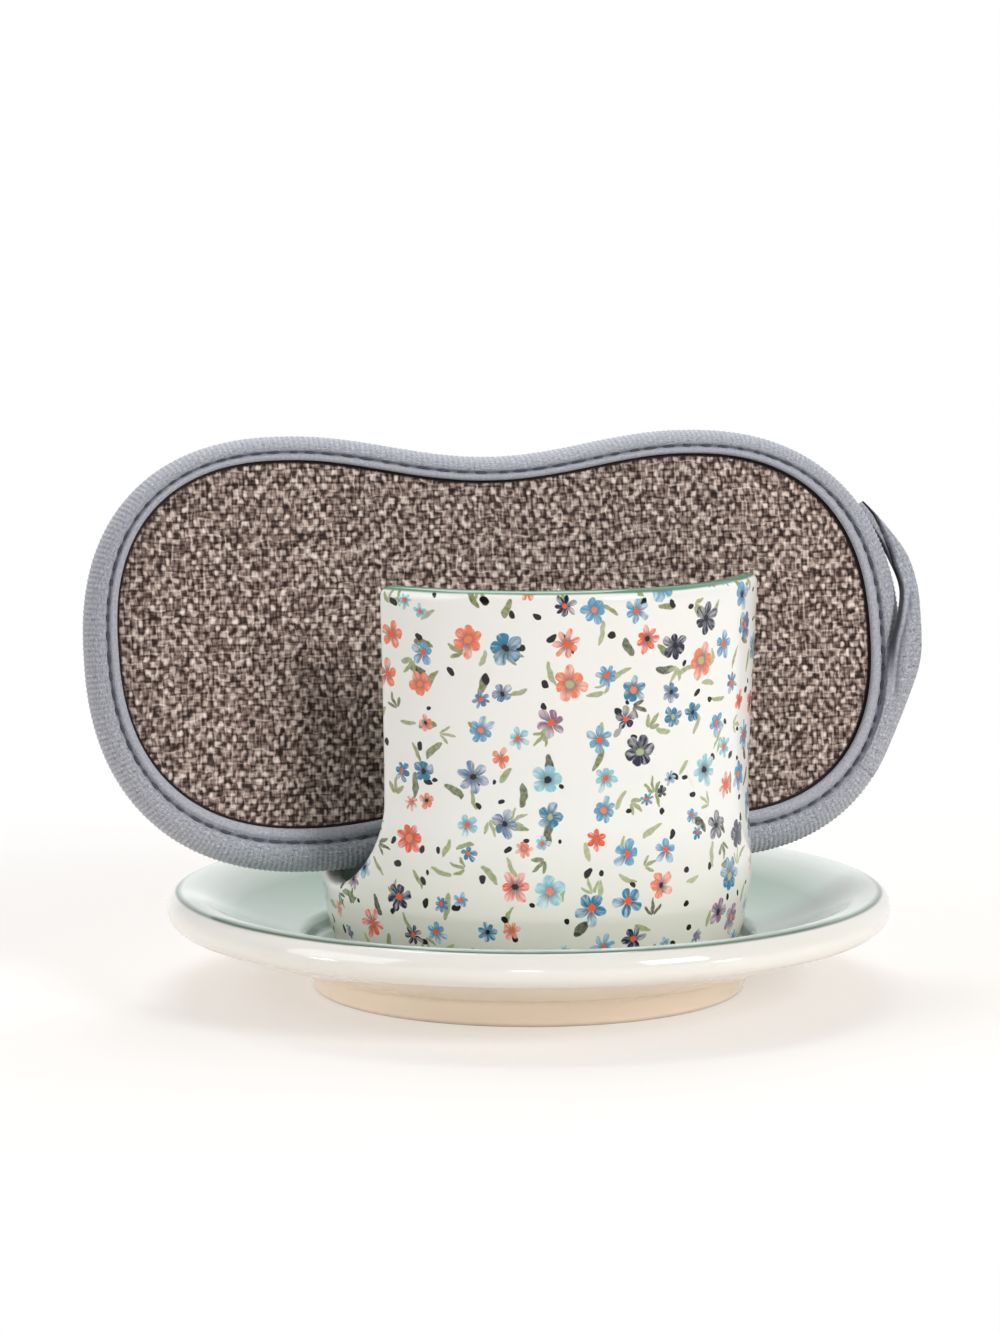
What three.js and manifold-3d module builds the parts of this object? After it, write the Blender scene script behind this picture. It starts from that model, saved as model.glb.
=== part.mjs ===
// Sponge holder set: a glazed saucer, a cup with a U-shaped slot standing in the saucer's well, and a padded
// scrub pad standing in the slot. Millimetres, +Z up. The slot runs along X and the pad leans back towards +Y.
// The origin is the middle of the set's footprint, on the surface that the saucer's foot stands on.
import * as THREE from 'three';
import { mergeVertices } from 'three/addons/utils/BufferGeometryUtils.js';
import Module from 'manifold-3d';

// Saucer
const SAUCER_RADIUS = 79.6;
const SAUCER_HEIGHT = 22;
const LIP_RADIUS = 3.9;
const LIP_SHELF = 5;
const SHELF_DROP = 1.5;
const FOOT_RADIUS = 47.5;
const FOOT_FLARE = 1.2;
const FOOT_HEIGHT = 5.4;
const FOOT_FILLET = 2.6;
const FOOT_RING_WIDTH = 6;
const FOOT_RECESS = 2.5;
const FOOT_EDGE_RADIUS = 0.8;
const BASE_THICKNESS = 6;
const WELL_CLEARANCE = 4.5;
const WELL_DEPTH = 4;
const WELL_DRAFT = 1.6;
const WELL_EDGE_RADIUS = 1.6;
const DISH_SAG = 3.2;

// Cup
const CUP_HEIGHT = 83.5;
const CUP_BASE_RADIUS = 45;
const CUP_BELLY_RADIUS = 47.2;
const CUP_WAIST_RADIUS = 46.8;
const CUP_RIM_RADIUS = 48.5;
const CUP_BELLY_HEIGHT = 16;
const CUP_WAIST_HEIGHT = 40;
const CUP_HEEL_HEIGHT = 2.6;
const CUP_HEEL_INSET = 2;
const CUP_WALL = 4.6;
const CUP_FLOOR = 5;
const CUP_FLOOR_FILLET = 6;
const CUP_FOOT_RING_WIDTH = 5;
const CUP_FOOT_RECESS = 1.5;
const DRAIN_RADIUS = 2.5;
const DRAIN_RING_RADIUS = 17;
const DRAIN_COUNT = 5;
// How far the loose cup stands to the right of the well's middle.
const CUP_SHIFT = 1.8;

// Slot through the cup
const SLOT_WIDTH = 40.4;
const SLOT_FLARE = 1.6;
const SLOT_FLOOR_HEIGHT = 16.6;
const SLOT_MOUTH_RADIUS = 3;

// Scrub pad
const PAD_LENGTH = 182.9;
const PAD_HEIGHT = 94.8;
const PAD_THICKNESS = 18;
const PAD_EDGE_THICKNESS = 13;
const LOBE_SPACING = 88.4;
const LOBE_SQUARENESS = 2.35;
const WAIST_DIP = 5.2;
// The soft pad slumps to the right: sideways shift for each unit of height below its middle.
const PAD_SLUMP = 0.036;
const CROWN_POWER = 2.2;
const CLOTH_THICKNESS = 1.4;
const TAPE_THICKNESS = 1.3;
const TAPE_LAP = 7.5;
const TAPE_BEAD_WIDTH = 1.5;
const TAPE_BEAD_RISE = 0.5;
const TAPE_GROOVE_WIDTH = 1.5;
const TAPE_GROOVE_DEPTH = 0.4;
const THREAD_RADIUS = 0.4;
// The tape is sewn on unevenly: its inner edge sits a little to the left and up of the pad's own outline.
const TAPE_SHIFT_LEFT = 0.8;
const TAPE_SHIFT_UP = 2.1;

// Hanging loop: the tape's tail at the pad's right-hand end. Its ends are heights above and below the centre.
const LOOP_TOP = 33;
const LOOP_BOTTOM = 32;
const LOOP_REACH = 4.2;
const LOOP_THICKNESS = 2.4;
// Course of the tail in equal steps of height, from its lower end. Each row gives its inner and outer edges
// beyond the pad's edge as shares of its reach, its depth from front (-1) to rear (1), and its thickness share.
const LOOP_COURSE = [
  [-1.2, 0.12, -1, 0.14],
  [-1.2, 0.13, -1, 0.16],
  [-1.2, 0.19, -1, 0.22],
  [-1.2, 0.31, -1, 0.33],
  [-1.2, 0.48, -1, 0.46],
  [-1, 0.65, -1, 0.62],
  [-0.5, 0.77, -0.93, 0.83],
  [0, 0.95, -0.68, 1],
  [0.08, 1.05, -0.3, 1],
  [0.08, 0.81, 0.1, 0.92],
  [0.07, 0.57, 0.5, 0.67],
];
// Shares of the height over which the tail unrolls from the pad's round edge, and how far round it reaches.
const LOOP_UNROLL_START = 0.2;
const LOOP_UNROLL_END = 0.55;
const LOOP_WRAP_SHARE = 0.72;

// Place of the pad in the slot
const PAD_SHIFT = 7.3;
const PAD_SKEW = THREE.MathUtils.degToRad(6.5);

// Clearances between touching pieces
const SEAT_GAP = 0.3;
const LAYER_GAP = 0.3;

// Facets
const TURN_SEGMENTS = 48;
const OUTLINE_POINTS = 48;
const THREAD_POINTS = 64;
const THREAD_SIDES = 5;
const LOOP_STEPS = 24;
const DRAIN_SIDES = 10;

// Heights that follow from the pieces below
const WELL_FLOOR = FOOT_RECESS + BASE_THICKNESS;
const CUP_BASE = WELL_FLOOR + SEAT_GAP;
const SLOT_RADIUS = SLOT_WIDTH / 2;
const LOBE_X = LOBE_SPACING / 2;
const EDGE_HALF = PAD_EDGE_THICKNESS / 2;
const ROUND_LAP = TAPE_LAP - TAPE_BEAD_WIDTH - TAPE_GROOVE_WIDTH;
const COVERED_HALF = EDGE_HALF - TAPE_THICKNESS - LAYER_GAP;
const RIGHT_ANGLE = Math.PI / 2;

const wasm = await Module();
wasm.setup();

// Turns a closed geometry into a solid for cutting.
function toSolid(geometry) {
  const bare = geometry.clone();
  bare.deleteAttribute('normal');
  bare.deleteAttribute('uv');
  const merged = mergeVertices(bare, 1e-4);
  const index = merged.index.array;
  const triangles = [];
  for (let i = 0; i < index.length; i += 3) {
    const [a, b, c] = [index[i], index[i + 1], index[i + 2]];
    if (a !== b && b !== c && c !== a) triangles.push(a, b, c);
  }
  const vertProperties = new Float32Array(merged.attributes.position.array);
  return new wasm.Manifold(new wasm.Mesh({ numProp: 3, vertProperties, triVerts: new Uint32Array(triangles) }));
}

function toGeometry(solid) {
  const { vertProperties, triVerts } = solid.getMesh();
  return indexedGeometry(vertProperties, triVerts);
}

function indexedGeometry(positions, index) {
  const geometry = new THREE.BufferGeometry();
  geometry.setAttribute('position', new THREE.BufferAttribute(new Float32Array(positions), 3));
  geometry.setIndex(new THREE.BufferAttribute(new Uint32Array(index), 1));
  geometry.computeVertexNormals();
  return geometry;
}

// Revolves a profile of (radius, height) points about Z.
function turned(points) {
  return new THREE.LatheGeometry(points, TURN_SEGMENTS).rotateX(RIGHT_ANGLE);
}

// Joins closed rows of points, one after the other. Open ends are closed by a fan about their middle.
function skin(rows, rowsClosed) {
  const count = rows[0].length;
  const positions = rows.flat().flatMap((p) => [p.x, p.y, p.z]);
  const index = [];
  const strips = rowsClosed ? rows.length : rows.length - 1;
  for (let i = 0; i < strips; i += 1) {
    const next = (i + 1) % rows.length;
    for (let j = 0; j < count; j += 1) {
      const k = (j + 1) % count;
      const [a, b, c, d] = [i * count + j, i * count + k, next * count + k, next * count + j];
      index.push(a, b, c, a, c, d);
    }
  }
  if (!rowsClosed) {
    for (const [row, flip] of [[0, true], [rows.length - 1, false]]) {
      const middle = rows[row].reduce((sum, p) => sum.add(p), new THREE.Vector3()).divideScalar(count);
      const centre = positions.length / 3;
      positions.push(middle.x, middle.y, middle.z);
      for (let j = 0; j < count; j += 1) {
        const [a, b] = [row * count + j, row * count + ((j + 1) % count)];
        index.push(centre, flip ? b : a, flip ? a : b);
      }
    }
  }
  return facingOut(positions, index);
}

// Turns a closed skin's faces round if they point inwards.
function facingOut(positions, index) {
  const corner = (i) => new THREE.Vector3().fromArray(positions, 3 * i);
  let volume = 0;
  for (let i = 0; i < index.length; i += 3) {
    volume += corner(index[i]).dot(corner(index[i + 1]).cross(corner(index[i + 2])));
  }
  return indexedGeometry(positions, volume < 0 ? index.toReversed() : index);
}

function finish(color, roughness) {
  return new THREE.MeshStandardMaterial({ color, roughness, metalness: 0 });
}

function named(name, geometry, material) {
  const mesh = new THREE.Mesh(geometry, material);
  mesh.name = name;
  return mesh;
}

// Saucer: recessed base, foot ring, sloping underside, round lip, dished top and the cup's well.
function saucerProfile() {
  const wellRadius = CUP_BASE_RADIUS + WELL_CLEARANCE;
  const wellTop = WELL_FLOOR + WELL_DEPTH;
  const ringInner = FOOT_RADIUS - FOOT_RING_WIDTH;
  const lipRadius = SAUCER_RADIUS - LIP_RADIUS;
  const lipHeight = SAUCER_HEIGHT - LIP_RADIUS;
  const profile = new THREE.Path();
  profile.moveTo(0, FOOT_RECESS);
  profile.lineTo(ringInner - FOOT_RECESS, FOOT_RECESS);
  profile.lineTo(ringInner, 0);
  profile.lineTo(FOOT_RADIUS - FOOT_EDGE_RADIUS, 0);
  profile.lineTo(FOOT_RADIUS, FOOT_EDGE_RADIUS);
  profile.lineTo(FOOT_RADIUS + FOOT_FLARE, FOOT_HEIGHT - FOOT_FILLET / 2);
  profile.quadraticCurveTo(
    FOOT_RADIUS + FOOT_FLARE, FOOT_HEIGHT + FOOT_FILLET / 2,
    FOOT_RADIUS + FOOT_FLARE + 2 * FOOT_FILLET, FOOT_HEIGHT + FOOT_FILLET / 2,
  );
  profile.lineTo(lipRadius, lipHeight - LIP_RADIUS);
  profile.absarc(lipRadius, lipHeight, LIP_RADIUS, -RIGHT_ANGLE, RIGHT_ANGLE, false);
  const shelfInner = lipRadius - LIP_SHELF;
  profile.quadraticCurveTo(
    lipRadius - LIP_SHELF / 2, SAUCER_HEIGHT,
    shelfInner, SAUCER_HEIGHT - SHELF_DROP,
  );
  profile.quadraticCurveTo(
    (shelfInner + wellRadius) / 2, (SAUCER_HEIGHT + wellTop) / 2 - DISH_SAG,
    wellRadius + WELL_EDGE_RADIUS, wellTop,
  );
  profile.quadraticCurveTo(wellRadius, wellTop, wellRadius - WELL_DRAFT / 2, wellTop - WELL_EDGE_RADIUS);
  profile.lineTo(wellRadius - WELL_DRAFT, WELL_FLOOR);
  profile.lineTo(0, WELL_FLOOR);
  return profile.getPoints(5);
}

// Outer radius of the cup's wall, as a smooth curve from its heel to its rim.
function cupWallPoints() {
  return new THREE.SplineCurve([
    new THREE.Vector2(CUP_BASE_RADIUS, CUP_BASE + CUP_HEEL_HEIGHT),
    new THREE.Vector2(CUP_BELLY_RADIUS, CUP_BASE + CUP_BELLY_HEIGHT),
    new THREE.Vector2(CUP_WAIST_RADIUS, CUP_BASE + CUP_WAIST_HEIGHT),
    new THREE.Vector2(CUP_RIM_RADIUS, CUP_BASE + CUP_HEIGHT - CUP_WALL / 2),
  ]).getPoints(9);
}

function cupProfile() {
  const wall = cupWallPoints();
  const ringOuter = CUP_BASE_RADIUS - CUP_HEEL_INSET;
  const ringInner = ringOuter - CUP_FOOT_RING_WIDTH;
  const floorTop = CUP_BASE + CUP_FOOT_RECESS + CUP_FLOOR;
  const inside = wall.filter((p) => p.y > floorTop + CUP_FLOOR_FILLET).reverse();
  const innerRadius = inside.at(-1).x - CUP_WALL;
  const rim = new THREE.EllipseCurve(
    CUP_RIM_RADIUS - CUP_WALL / 2, CUP_BASE + CUP_HEIGHT - CUP_WALL / 2,
    CUP_WALL / 2, CUP_WALL / 2, 0, Math.PI,
  ).getPoints(5);
  const fillet = new THREE.QuadraticBezierCurve(
    new THREE.Vector2(innerRadius, floorTop + CUP_FLOOR_FILLET),
    new THREE.Vector2(innerRadius, floorTop),
    new THREE.Vector2(innerRadius - CUP_FLOOR_FILLET, floorTop),
  ).getPoints(3);
  return [
    new THREE.Vector2(0, CUP_BASE + CUP_FOOT_RECESS),
    new THREE.Vector2(ringInner - CUP_FOOT_RECESS, CUP_BASE + CUP_FOOT_RECESS),
    new THREE.Vector2(ringInner, CUP_BASE),
    new THREE.Vector2(ringOuter, CUP_BASE),
    ...wall.slice(0, -1),
    ...rim,
    ...inside.slice(1).map((p) => new THREE.Vector2(p.x - CUP_WALL, p.y)),
    ...fillet,
    new THREE.Vector2(0, floorTop),
  ];
}

// Round-bottomed slot that opens slightly towards its eased mouth, as one solid through the cup along X.
function slotCutter() {
  const rimTop = CUP_BASE + CUP_HEIGHT;
  const above = rimTop + CUP_WALL;
  const mouth = SLOT_RADIUS + SLOT_FLARE + SLOT_MOUTH_RADIUS;
  const mouthCentre = rimTop - SLOT_MOUTH_RADIUS;
  const shape = new THREE.Shape();
  shape.moveTo(mouth, above);
  shape.lineTo(-mouth, above);
  shape.absarc(-mouth, mouthCentre, SLOT_MOUTH_RADIUS, RIGHT_ANGLE, 0, true);
  shape.absarc(0, CUP_BASE + SLOT_FLOOR_HEIGHT + SLOT_RADIUS, SLOT_RADIUS, Math.PI, 2 * Math.PI, false);
  shape.absarc(mouth, mouthCentre, SLOT_MOUTH_RADIUS, Math.PI, RIGHT_ANGLE, true);
  const depth = 3 * CUP_RIM_RADIUS;
  const cutter = new THREE.ExtrudeGeometry(shape, { depth, bevelEnabled: false, curveSegments: 12 });
  const [x, y, z] = [new THREE.Vector3(1, 0, 0), new THREE.Vector3(0, 1, 0), new THREE.Vector3(0, 0, 1)];
  return cutter.translate(0, 0, -depth / 2).applyMatrix4(new THREE.Matrix4().makeBasis(y, z, x));
}

function drainCutter(number) {
  const angle = (number / DRAIN_COUNT) * 2 * Math.PI + RIGHT_ANGLE;
  const length = 4 * CUP_FLOOR;
  return new THREE.CylinderGeometry(DRAIN_RADIUS, DRAIN_RADIUS, length, DRAIN_SIDES)
    .rotateX(RIGHT_ANGLE)
    .translate(DRAIN_RING_RADIUS * Math.cos(angle), DRAIN_RING_RADIUS * Math.sin(angle), CUP_BASE);
}

function cupGeometry() {
  let cup = toSolid(turned(cupProfile())).subtract(toSolid(slotCutter()));
  for (let i = 0; i < DRAIN_COUNT; i += 1) cup = cup.subtract(toSolid(drainCutter(i)));
  return toGeometry(cup);
}

function slumped(target, x, z) {
  return target.set(x - PAD_SLUMP * z, 0, z);
}

// The pad's outline: two squarish round lobes joined by a shallow waist, counter-clockwise in X and Z.
class PadOutline extends THREE.Curve {
  getPoint(t, target = new THREE.Vector3()) {
    const quarter = Math.floor((t % 1) * 4);
    const along = (t % 1) * 4 - quarter;
    const side = quarter < 2 ? 1 : -1;
    if (quarter % 2 === 0) {
      const angle = (along - 0.5) * Math.PI;
      const bow = (value) => Math.sign(value) * Math.abs(value) ** (2 / LOBE_SQUARENESS);
      const x = LOBE_X + (PAD_LENGTH / 2 - LOBE_X) * bow(Math.cos(angle));
      return slumped(target, side * x, (side * bow(Math.sin(angle)) * PAD_HEIGHT) / 2);
    }
    const x = LOBE_X * (1 - 2 * along);
    const dip = (WAIST_DIP * (1 + Math.cos((Math.PI * x) / LOBE_X))) / 2;
    return slumped(target, side * x, side * (PAD_HEIGHT / 2 - dip));
  }
}

const outline = new PadOutline();
outline.arcLengthDivisions = 800;

// Stations along the outline: the edge point, its outward direction and how wide the tape laps over there.
function station(along) {
  const point = outline.getPointAt(along);
  const tangent = outline.getTangentAt(along);
  const out = new THREE.Vector3(tangent.z, 0, -tangent.x).normalize();
  const lap = (TAPE_LAP + TAPE_SHIFT_LEFT * out.x - TAPE_SHIFT_UP * out.z) / TAPE_LAP;
  return { point, out, lap };
}

function stations(count) {
  return Array.from({ length: count }, (_, i) => station(i / count));
}

// Point of the pad's edge zone: inset from the outline, scaled with the tape's lap, and off the middle plane.
function edgePoint({ point, out, lap }, inset, depth) {
  return point.clone().addScaledVector(out, -inset * lap).setY(depth);
}

// Point of the pad's face, from the tape's inner edge (share 0) to the middle line between the lobes (share 1).
function facePoint(place, share, depth) {
  const start = edgePoint(place, TAPE_LAP, 0);
  const middle = new THREE.Vector3(THREE.MathUtils.clamp(start.x, -LOBE_X, LOBE_X), 0, 0);
  return start.lerp(middle, share).setY(depth);
}

// Half thickness of the cloth's outer face: under the tape at share 0, fully crowned at share 1.
function crown(share) {
  return COVERED_HALF + (PAD_THICKNESS / 2 - COVERED_HALF) * (1 - (1 - share) ** CROWN_POWER);
}

// Rows across one face of the pad, from the middle out to the covered edge, sunk below the cloth's outer face.
function faceRows(places, side, sunk, shares, angles) {
  const rows = shares.map((share) => places.map((p) => facePoint(p, share, side * (crown(share) - sunk))));
  const first = TAPE_THICKNESS + LAYER_GAP;
  for (const angle of angles) {
    const inset = first + (ROUND_LAP - first) * (1 - Math.cos(angle));
    const depth = side * (COVERED_HALF * Math.sin(angle) - sunk);
    rows.push(places.map((p) => edgePoint(p, inset, depth)));
  }
  return rows;
}

const EDGE_ANGLES = [RIGHT_ANGLE, Math.PI / 3, Math.PI / 5];

function foamGeometry() {
  const places = stations(OUTLINE_POINTS);
  const sunk = CLOTH_THICKNESS + LAYER_GAP;
  const shares = [0.75, 0.25, 0];
  const front = faceRows(places, -1, sunk, shares, EDGE_ANGLES);
  const rear = faceRows(places, 1, sunk, shares, EDGE_ANGLES);
  return skin([...front, ...rear.reverse()], false);
}

function clothGeometry(side) {
  const places = stations(OUTLINE_POINTS);
  const shares = [0.85, 0.45, 0.15, 0];
  const outer = faceRows(places, side, 0, shares, EDGE_ANGLES);
  const inner = faceRows(places, side, CLOTH_THICKNESS, shares, EDGE_ANGLES);
  return skin([...outer, ...inner.reverse()], false);
}

// Half of the tape's folded section, from the middle plane to its inner edge: outer side, then inner side.
function tapeHalfSection() {
  const arc = (angles, start, half) => angles.map((a) => [
    start + (ROUND_LAP - start) * (1 - Math.cos(a)),
    half * Math.sin(a),
  ]);
  const quarter = [0.25, 0.5, 0.75, 1].map((share) => share * RIGHT_ANGLE);
  const outer = [
    ...arc(quarter, 0, EDGE_HALF),
    [ROUND_LAP + TAPE_GROOVE_WIDTH / 2, EDGE_HALF - TAPE_GROOVE_DEPTH],
    [ROUND_LAP + TAPE_GROOVE_WIDTH, EDGE_HALF],
    [TAPE_LAP - TAPE_BEAD_WIDTH / 2, EDGE_HALF + TAPE_BEAD_RISE],
    [TAPE_LAP, EDGE_HALF - TAPE_GROOVE_DEPTH],
  ];
  const innerHalf = EDGE_HALF - TAPE_THICKNESS;
  const inner = [[TAPE_LAP, innerHalf], ...arc(EDGE_ANGLES, TAPE_THICKNESS, innerHalf)];
  return { outer, inner };
}

function tapeGeometry() {
  const { outer, inner } = tapeHalfSection();
  const mirrored = (points) => points.map(([inset, depth]) => [inset, -depth]).reverse();
  const section = [
    ...mirrored(outer), [0, 0], ...outer,
    ...inner, [TAPE_THICKNESS, 0], ...mirrored(inner),
  ];
  const rows = stations(OUTLINE_POINTS).map((p) => section.map(([inset, depth]) => edgePoint(p, inset, depth)));
  return skin(rows, true);
}

// Sewing thread that lies in the tape's groove all round the pad.
function threadGeometry(side) {
  const inset = ROUND_LAP + TAPE_GROOVE_WIDTH / 2;
  const depth = side * (EDGE_HALF - TAPE_GROOVE_DEPTH + LAYER_GAP + THREAD_RADIUS);
  const rows = stations(THREAD_POINTS).map((p) => {
    const centre = edgePoint(p, inset, depth);
    return Array.from({ length: THREAD_SIDES }, (_, i) => {
      const angle = (i / THREAD_SIDES) * 2 * Math.PI;
      const across = centre.clone().addScaledVector(p.out, THREAD_RADIUS * Math.cos(angle));
      return across.setY(depth + THREAD_RADIUS * Math.sin(angle));
    });
  });
  return skin(rows, true);
}

// Where along the right-hand lobe the outline reaches a given height.
function alongAtHeight(height) {
  let [low, high] = [0, 0.25];
  for (let i = 0; i < 40; i += 1) {
    const middle = (low + high) / 2;
    if (outline.getPointAt(middle).z < height) low = middle;
    else high = middle;
  }
  return low;
}

// The tail's course at a share of its height.
function loopCourse(share) {
  const step = share * (LOOP_COURSE.length - 1);
  const row = Math.min(Math.floor(step), LOOP_COURSE.length - 2);
  return LOOP_COURSE[row].map((value, i) => THREE.MathUtils.lerp(value, LOOP_COURSE[row + 1][i], step - row));
}

// Tape tail that is wrapped round the edge from the front at its lower end, unrolls as it rises, passes the
// pad's end on the outside and goes behind the edge at its upper end.
function loopGeometry() {
  const { lerp, smoothstep } = THREE.MathUtils;
  const acrossShares = [0, 0.08, 0.36, 0.64, 0.92, 1];
  const rows = Array.from({ length: LOOP_STEPS + 1 }, (_, i) => {
    const share = i / LOOP_STEPS;
    const place = station(alongAtHeight(lerp(-LOOP_BOTTOM, LOOP_TOP, share)));
    const [innerShare, outerShare, depthShare, thicknessShare] = loopCourse(share);
    const thickness = LOOP_THICKNESS * thicknessShare;
    const middle = (EDGE_HALF + LAYER_GAP + thickness / 2) * depthShare;
    const unrolled = smoothstep(share, LOOP_UNROLL_START, LOOP_UNROLL_END);
    const lap = ROUND_LAP * place.lap;
    const point = (across, lift) => {
      const angle = RIGHT_ANGLE * (1 - LOOP_WRAP_SHARE * across);
      const off = LAYER_GAP + lift * thickness;
      const reach = LOOP_REACH * lerp(innerShare, outerShare, across);
      const out = lerp((lap + off) * Math.cos(angle) - lap, reach, unrolled);
      const depth = lerp(-(EDGE_HALF + off) * Math.sin(angle), middle + thickness * (0.5 - lift), unrolled);
      return place.point.clone().addScaledVector(place.out, out).setY(depth);
    };
    const ends = (across) => across === 0 || across === 1;
    const front = acrossShares.map((across) => point(across, ends(across) ? 0.7 : 1));
    const back = acrossShares.map((across) => point(across, ends(across) ? 0.3 : 0));
    return [...front, ...back.reverse()];
  });
  return skin(rows, false);
}

// Height of the pad's rounded edge centre: skewed in the slot, the edge rides on the sides of the round floor.
function padEdgeHeight() {
  const offset = CUP_BELLY_RADIUS * Math.tan(PAD_SKEW);
  const reach = SLOT_RADIUS - EDGE_HALF - SEAT_GAP;
  const slotCentre = CUP_BASE + SLOT_FLOOR_HEIGHT + SLOT_RADIUS;
  return slotCentre - Math.sqrt(reach ** 2 - offset ** 2);
}

// Lean that brings the pad's rear face up to the slot's rear edge at the cup's rim.
function padLean() {
  const edgeAngle = Math.asin((SLOT_RADIUS + SLOT_FLARE) / CUP_RIM_RADIUS);
  const edgeReach = CUP_RIM_RADIUS * Math.sin(edgeAngle - PAD_SKEW);
  const room = edgeReach - PAD_THICKNESS / 2 - SEAT_GAP;
  return Math.atan2(room, CUP_BASE + CUP_HEIGHT - padEdgeHeight());
}

function scrubPad() {
  const pieces = new THREE.Group();
  pieces.add(
    named('foam_core', foamGeometry(), finish(0xd9c98f, 0.95)),
    named('front_cloth', clothGeometry(-1), finish(0x8c7a70, 0.95)),
    named('rear_cloth', clothGeometry(1), finish(0x8c7a70, 0.95)),
    named('edge_binding', tapeGeometry(), finish(0x9c9ea8, 0.9)),
    named('front_seam_thread', threadGeometry(-1), finish(0x5a5c68, 0.8)),
    named('rear_seam_thread', threadGeometry(1), finish(0x5a5c68, 0.8)),
    named('hanging_loop', loopGeometry(), finish(0x9c9ea8, 0.9)),
  );
  pieces.position.set(-PAD_SHIFT, 0, PAD_HEIGHT / 2 - EDGE_HALF);
  const leaning = new THREE.Group();
  leaning.rotation.x = -padLean();
  leaning.add(pieces);
  const skewed = new THREE.Group();
  skewed.rotation.z = -PAD_SKEW;
  skewed.position.z = padEdgeHeight();
  skewed.add(leaning);
  return skewed;
}

const holder = new THREE.Group();
holder.add(named('holder_cup', cupGeometry(), finish(0xf3f1ea, 0.15)), scrubPad());
holder.position.x = CUP_SHIFT;

const set = new THREE.Group();
set.add(named('saucer', turned(saucerProfile()), finish(0xe9ece2, 0.15)), holder);
set.updateMatrixWorld(true);
const footprint = new THREE.Box3().setFromObject(set, true);
set.position.x = -(footprint.min.x + footprint.max.x) / 2;

const model = new THREE.Group();
model.add(set);

export default model;
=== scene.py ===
from functools import partialmethod
from math import asin, atan2, cos, pi, radians, sin, sqrt, tan

import bpy
import numpy as np
from mathutils import Matrix, Vector


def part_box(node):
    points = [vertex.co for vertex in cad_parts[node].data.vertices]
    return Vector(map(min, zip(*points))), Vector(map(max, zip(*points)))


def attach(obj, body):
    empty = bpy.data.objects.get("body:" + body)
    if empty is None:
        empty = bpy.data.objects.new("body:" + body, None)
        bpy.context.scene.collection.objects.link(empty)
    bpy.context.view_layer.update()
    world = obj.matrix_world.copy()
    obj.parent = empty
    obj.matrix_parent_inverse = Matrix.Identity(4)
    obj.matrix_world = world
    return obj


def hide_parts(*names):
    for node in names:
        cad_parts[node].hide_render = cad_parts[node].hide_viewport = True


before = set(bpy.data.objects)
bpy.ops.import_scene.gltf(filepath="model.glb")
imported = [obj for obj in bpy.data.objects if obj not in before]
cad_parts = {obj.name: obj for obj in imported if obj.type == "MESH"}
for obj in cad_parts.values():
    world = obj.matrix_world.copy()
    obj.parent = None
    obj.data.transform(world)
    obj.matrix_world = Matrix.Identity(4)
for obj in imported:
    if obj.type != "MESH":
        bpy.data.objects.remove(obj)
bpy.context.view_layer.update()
scene = bpy.context.scene

# Sizes are in millimetres, and meshes are scaled to metres as they are made.
MM = 0.001

# Saucer
SAUCER_RADIUS = 79.6
SAUCER_HEIGHT = 22.0
LIP_RADIUS = 3.9
LIP_SHELF = 5.0
SHELF_DROP = 1.5
FOOT_RADIUS = 47.5
FOOT_FLARE = 1.2
FOOT_HEIGHT = 5.4
FOOT_FILLET = 2.6
FOOT_RING_WIDTH = 6.0
FOOT_RECESS = 2.5
FOOT_EDGE_RADIUS = 0.8
BASE_THICKNESS = 6.0
WELL_RADIUS = 49.5
WELL_DEPTH = 4.0
WELL_DRAFT = 1.6
WELL_EDGE_RADIUS = 1.6
WELL_CORNER_RUN = 1.2
WELL_CORNER_RISE = (0.4, 1.1)
DISH_SAG = 3.2
RIM_LINE_WIDTH = 1.0
RIM_LINE_OFFSET = 0.9
RIM_LINE_FADE = 0.2
SAUCER_SIDES = 256

# Cup
CUP_BASE = 8.8
CUP_HEIGHT = 83.5
CUP_BASE_RADIUS = 45.0
CUP_WALL_POINTS = ((45.0, 2.6), (47.2, 16.0), (46.8, 40.0), (48.5, 81.2))
CUP_HEEL_HEIGHT = 2.6
CUP_HEEL_INSET = 2.0
CUP_WALL = 4.6
CUP_FLOOR = 5.0
CUP_FLOOR_FILLET = 6.0
CUP_FOOT_RING_WIDTH = 5.0
CUP_FOOT_RECESS = 1.5
DRAIN_RADIUS = 2.5
DRAIN_RING_RADIUS = 17.0
DRAIN_COUNT = 5
CUP_SHIFT = 1.8
SLOT_WIDTH = 40.4
SLOT_FLARE = 1.6
SLOT_FLOOR_HEIGHT = 16.6
CUT_EDGE_RADIUS = 1.7
CUP_EDGE_RADIUS = 0.8
CUP_RIM_RADIUS = 48.5
CUP_STEP = 0.8
CUP_LINE_WIDTH = 0.8
CUP_LINE_FADE = 0.25
PRINT_UNIT = 100.0

# Scrub pad
PAD_LENGTH = 182.9
PAD_HEIGHT = 94.8
PAD_THICKNESS = 18.0
PAD_EDGE_THICKNESS = 13.0
LOBE_SPACING = 88.4
LOBE_SQUARENESS = 2.35
WAIST_DIP = 5.2
PAD_SLUMP = 0.036
CROWN_POWER = 2.2
CLOTH_THICKNESS = 1.4
CLOTH_FULLNESS = 0.72
CLOTH_SIDES = 240
COVERED_ROWS = 6
HELD_ROWS = 7
FOAM_FULLNESS = 0.7
FOAM_SIDES = 160
TAPE_THICKNESS = 1.3
TAPE_LAP = 7.5
TAPE_SHIFT = (-0.8, 2.1)
TAPE_BEAD_WIDTH = 1.7
TAPE_BEAD_RISE = 0.42
TAPE_GROOVE_WIDTH = 1.3
TAPE_GROOVE_DEPTH = 0.75
TAPE_RIB_PITCH = 1.15
TAPE_RIB_RISE = 0.1
RIB_STEPS = 4
STITCH_PITCH = 4.2
STITCH_RADIUS = 0.32
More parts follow.
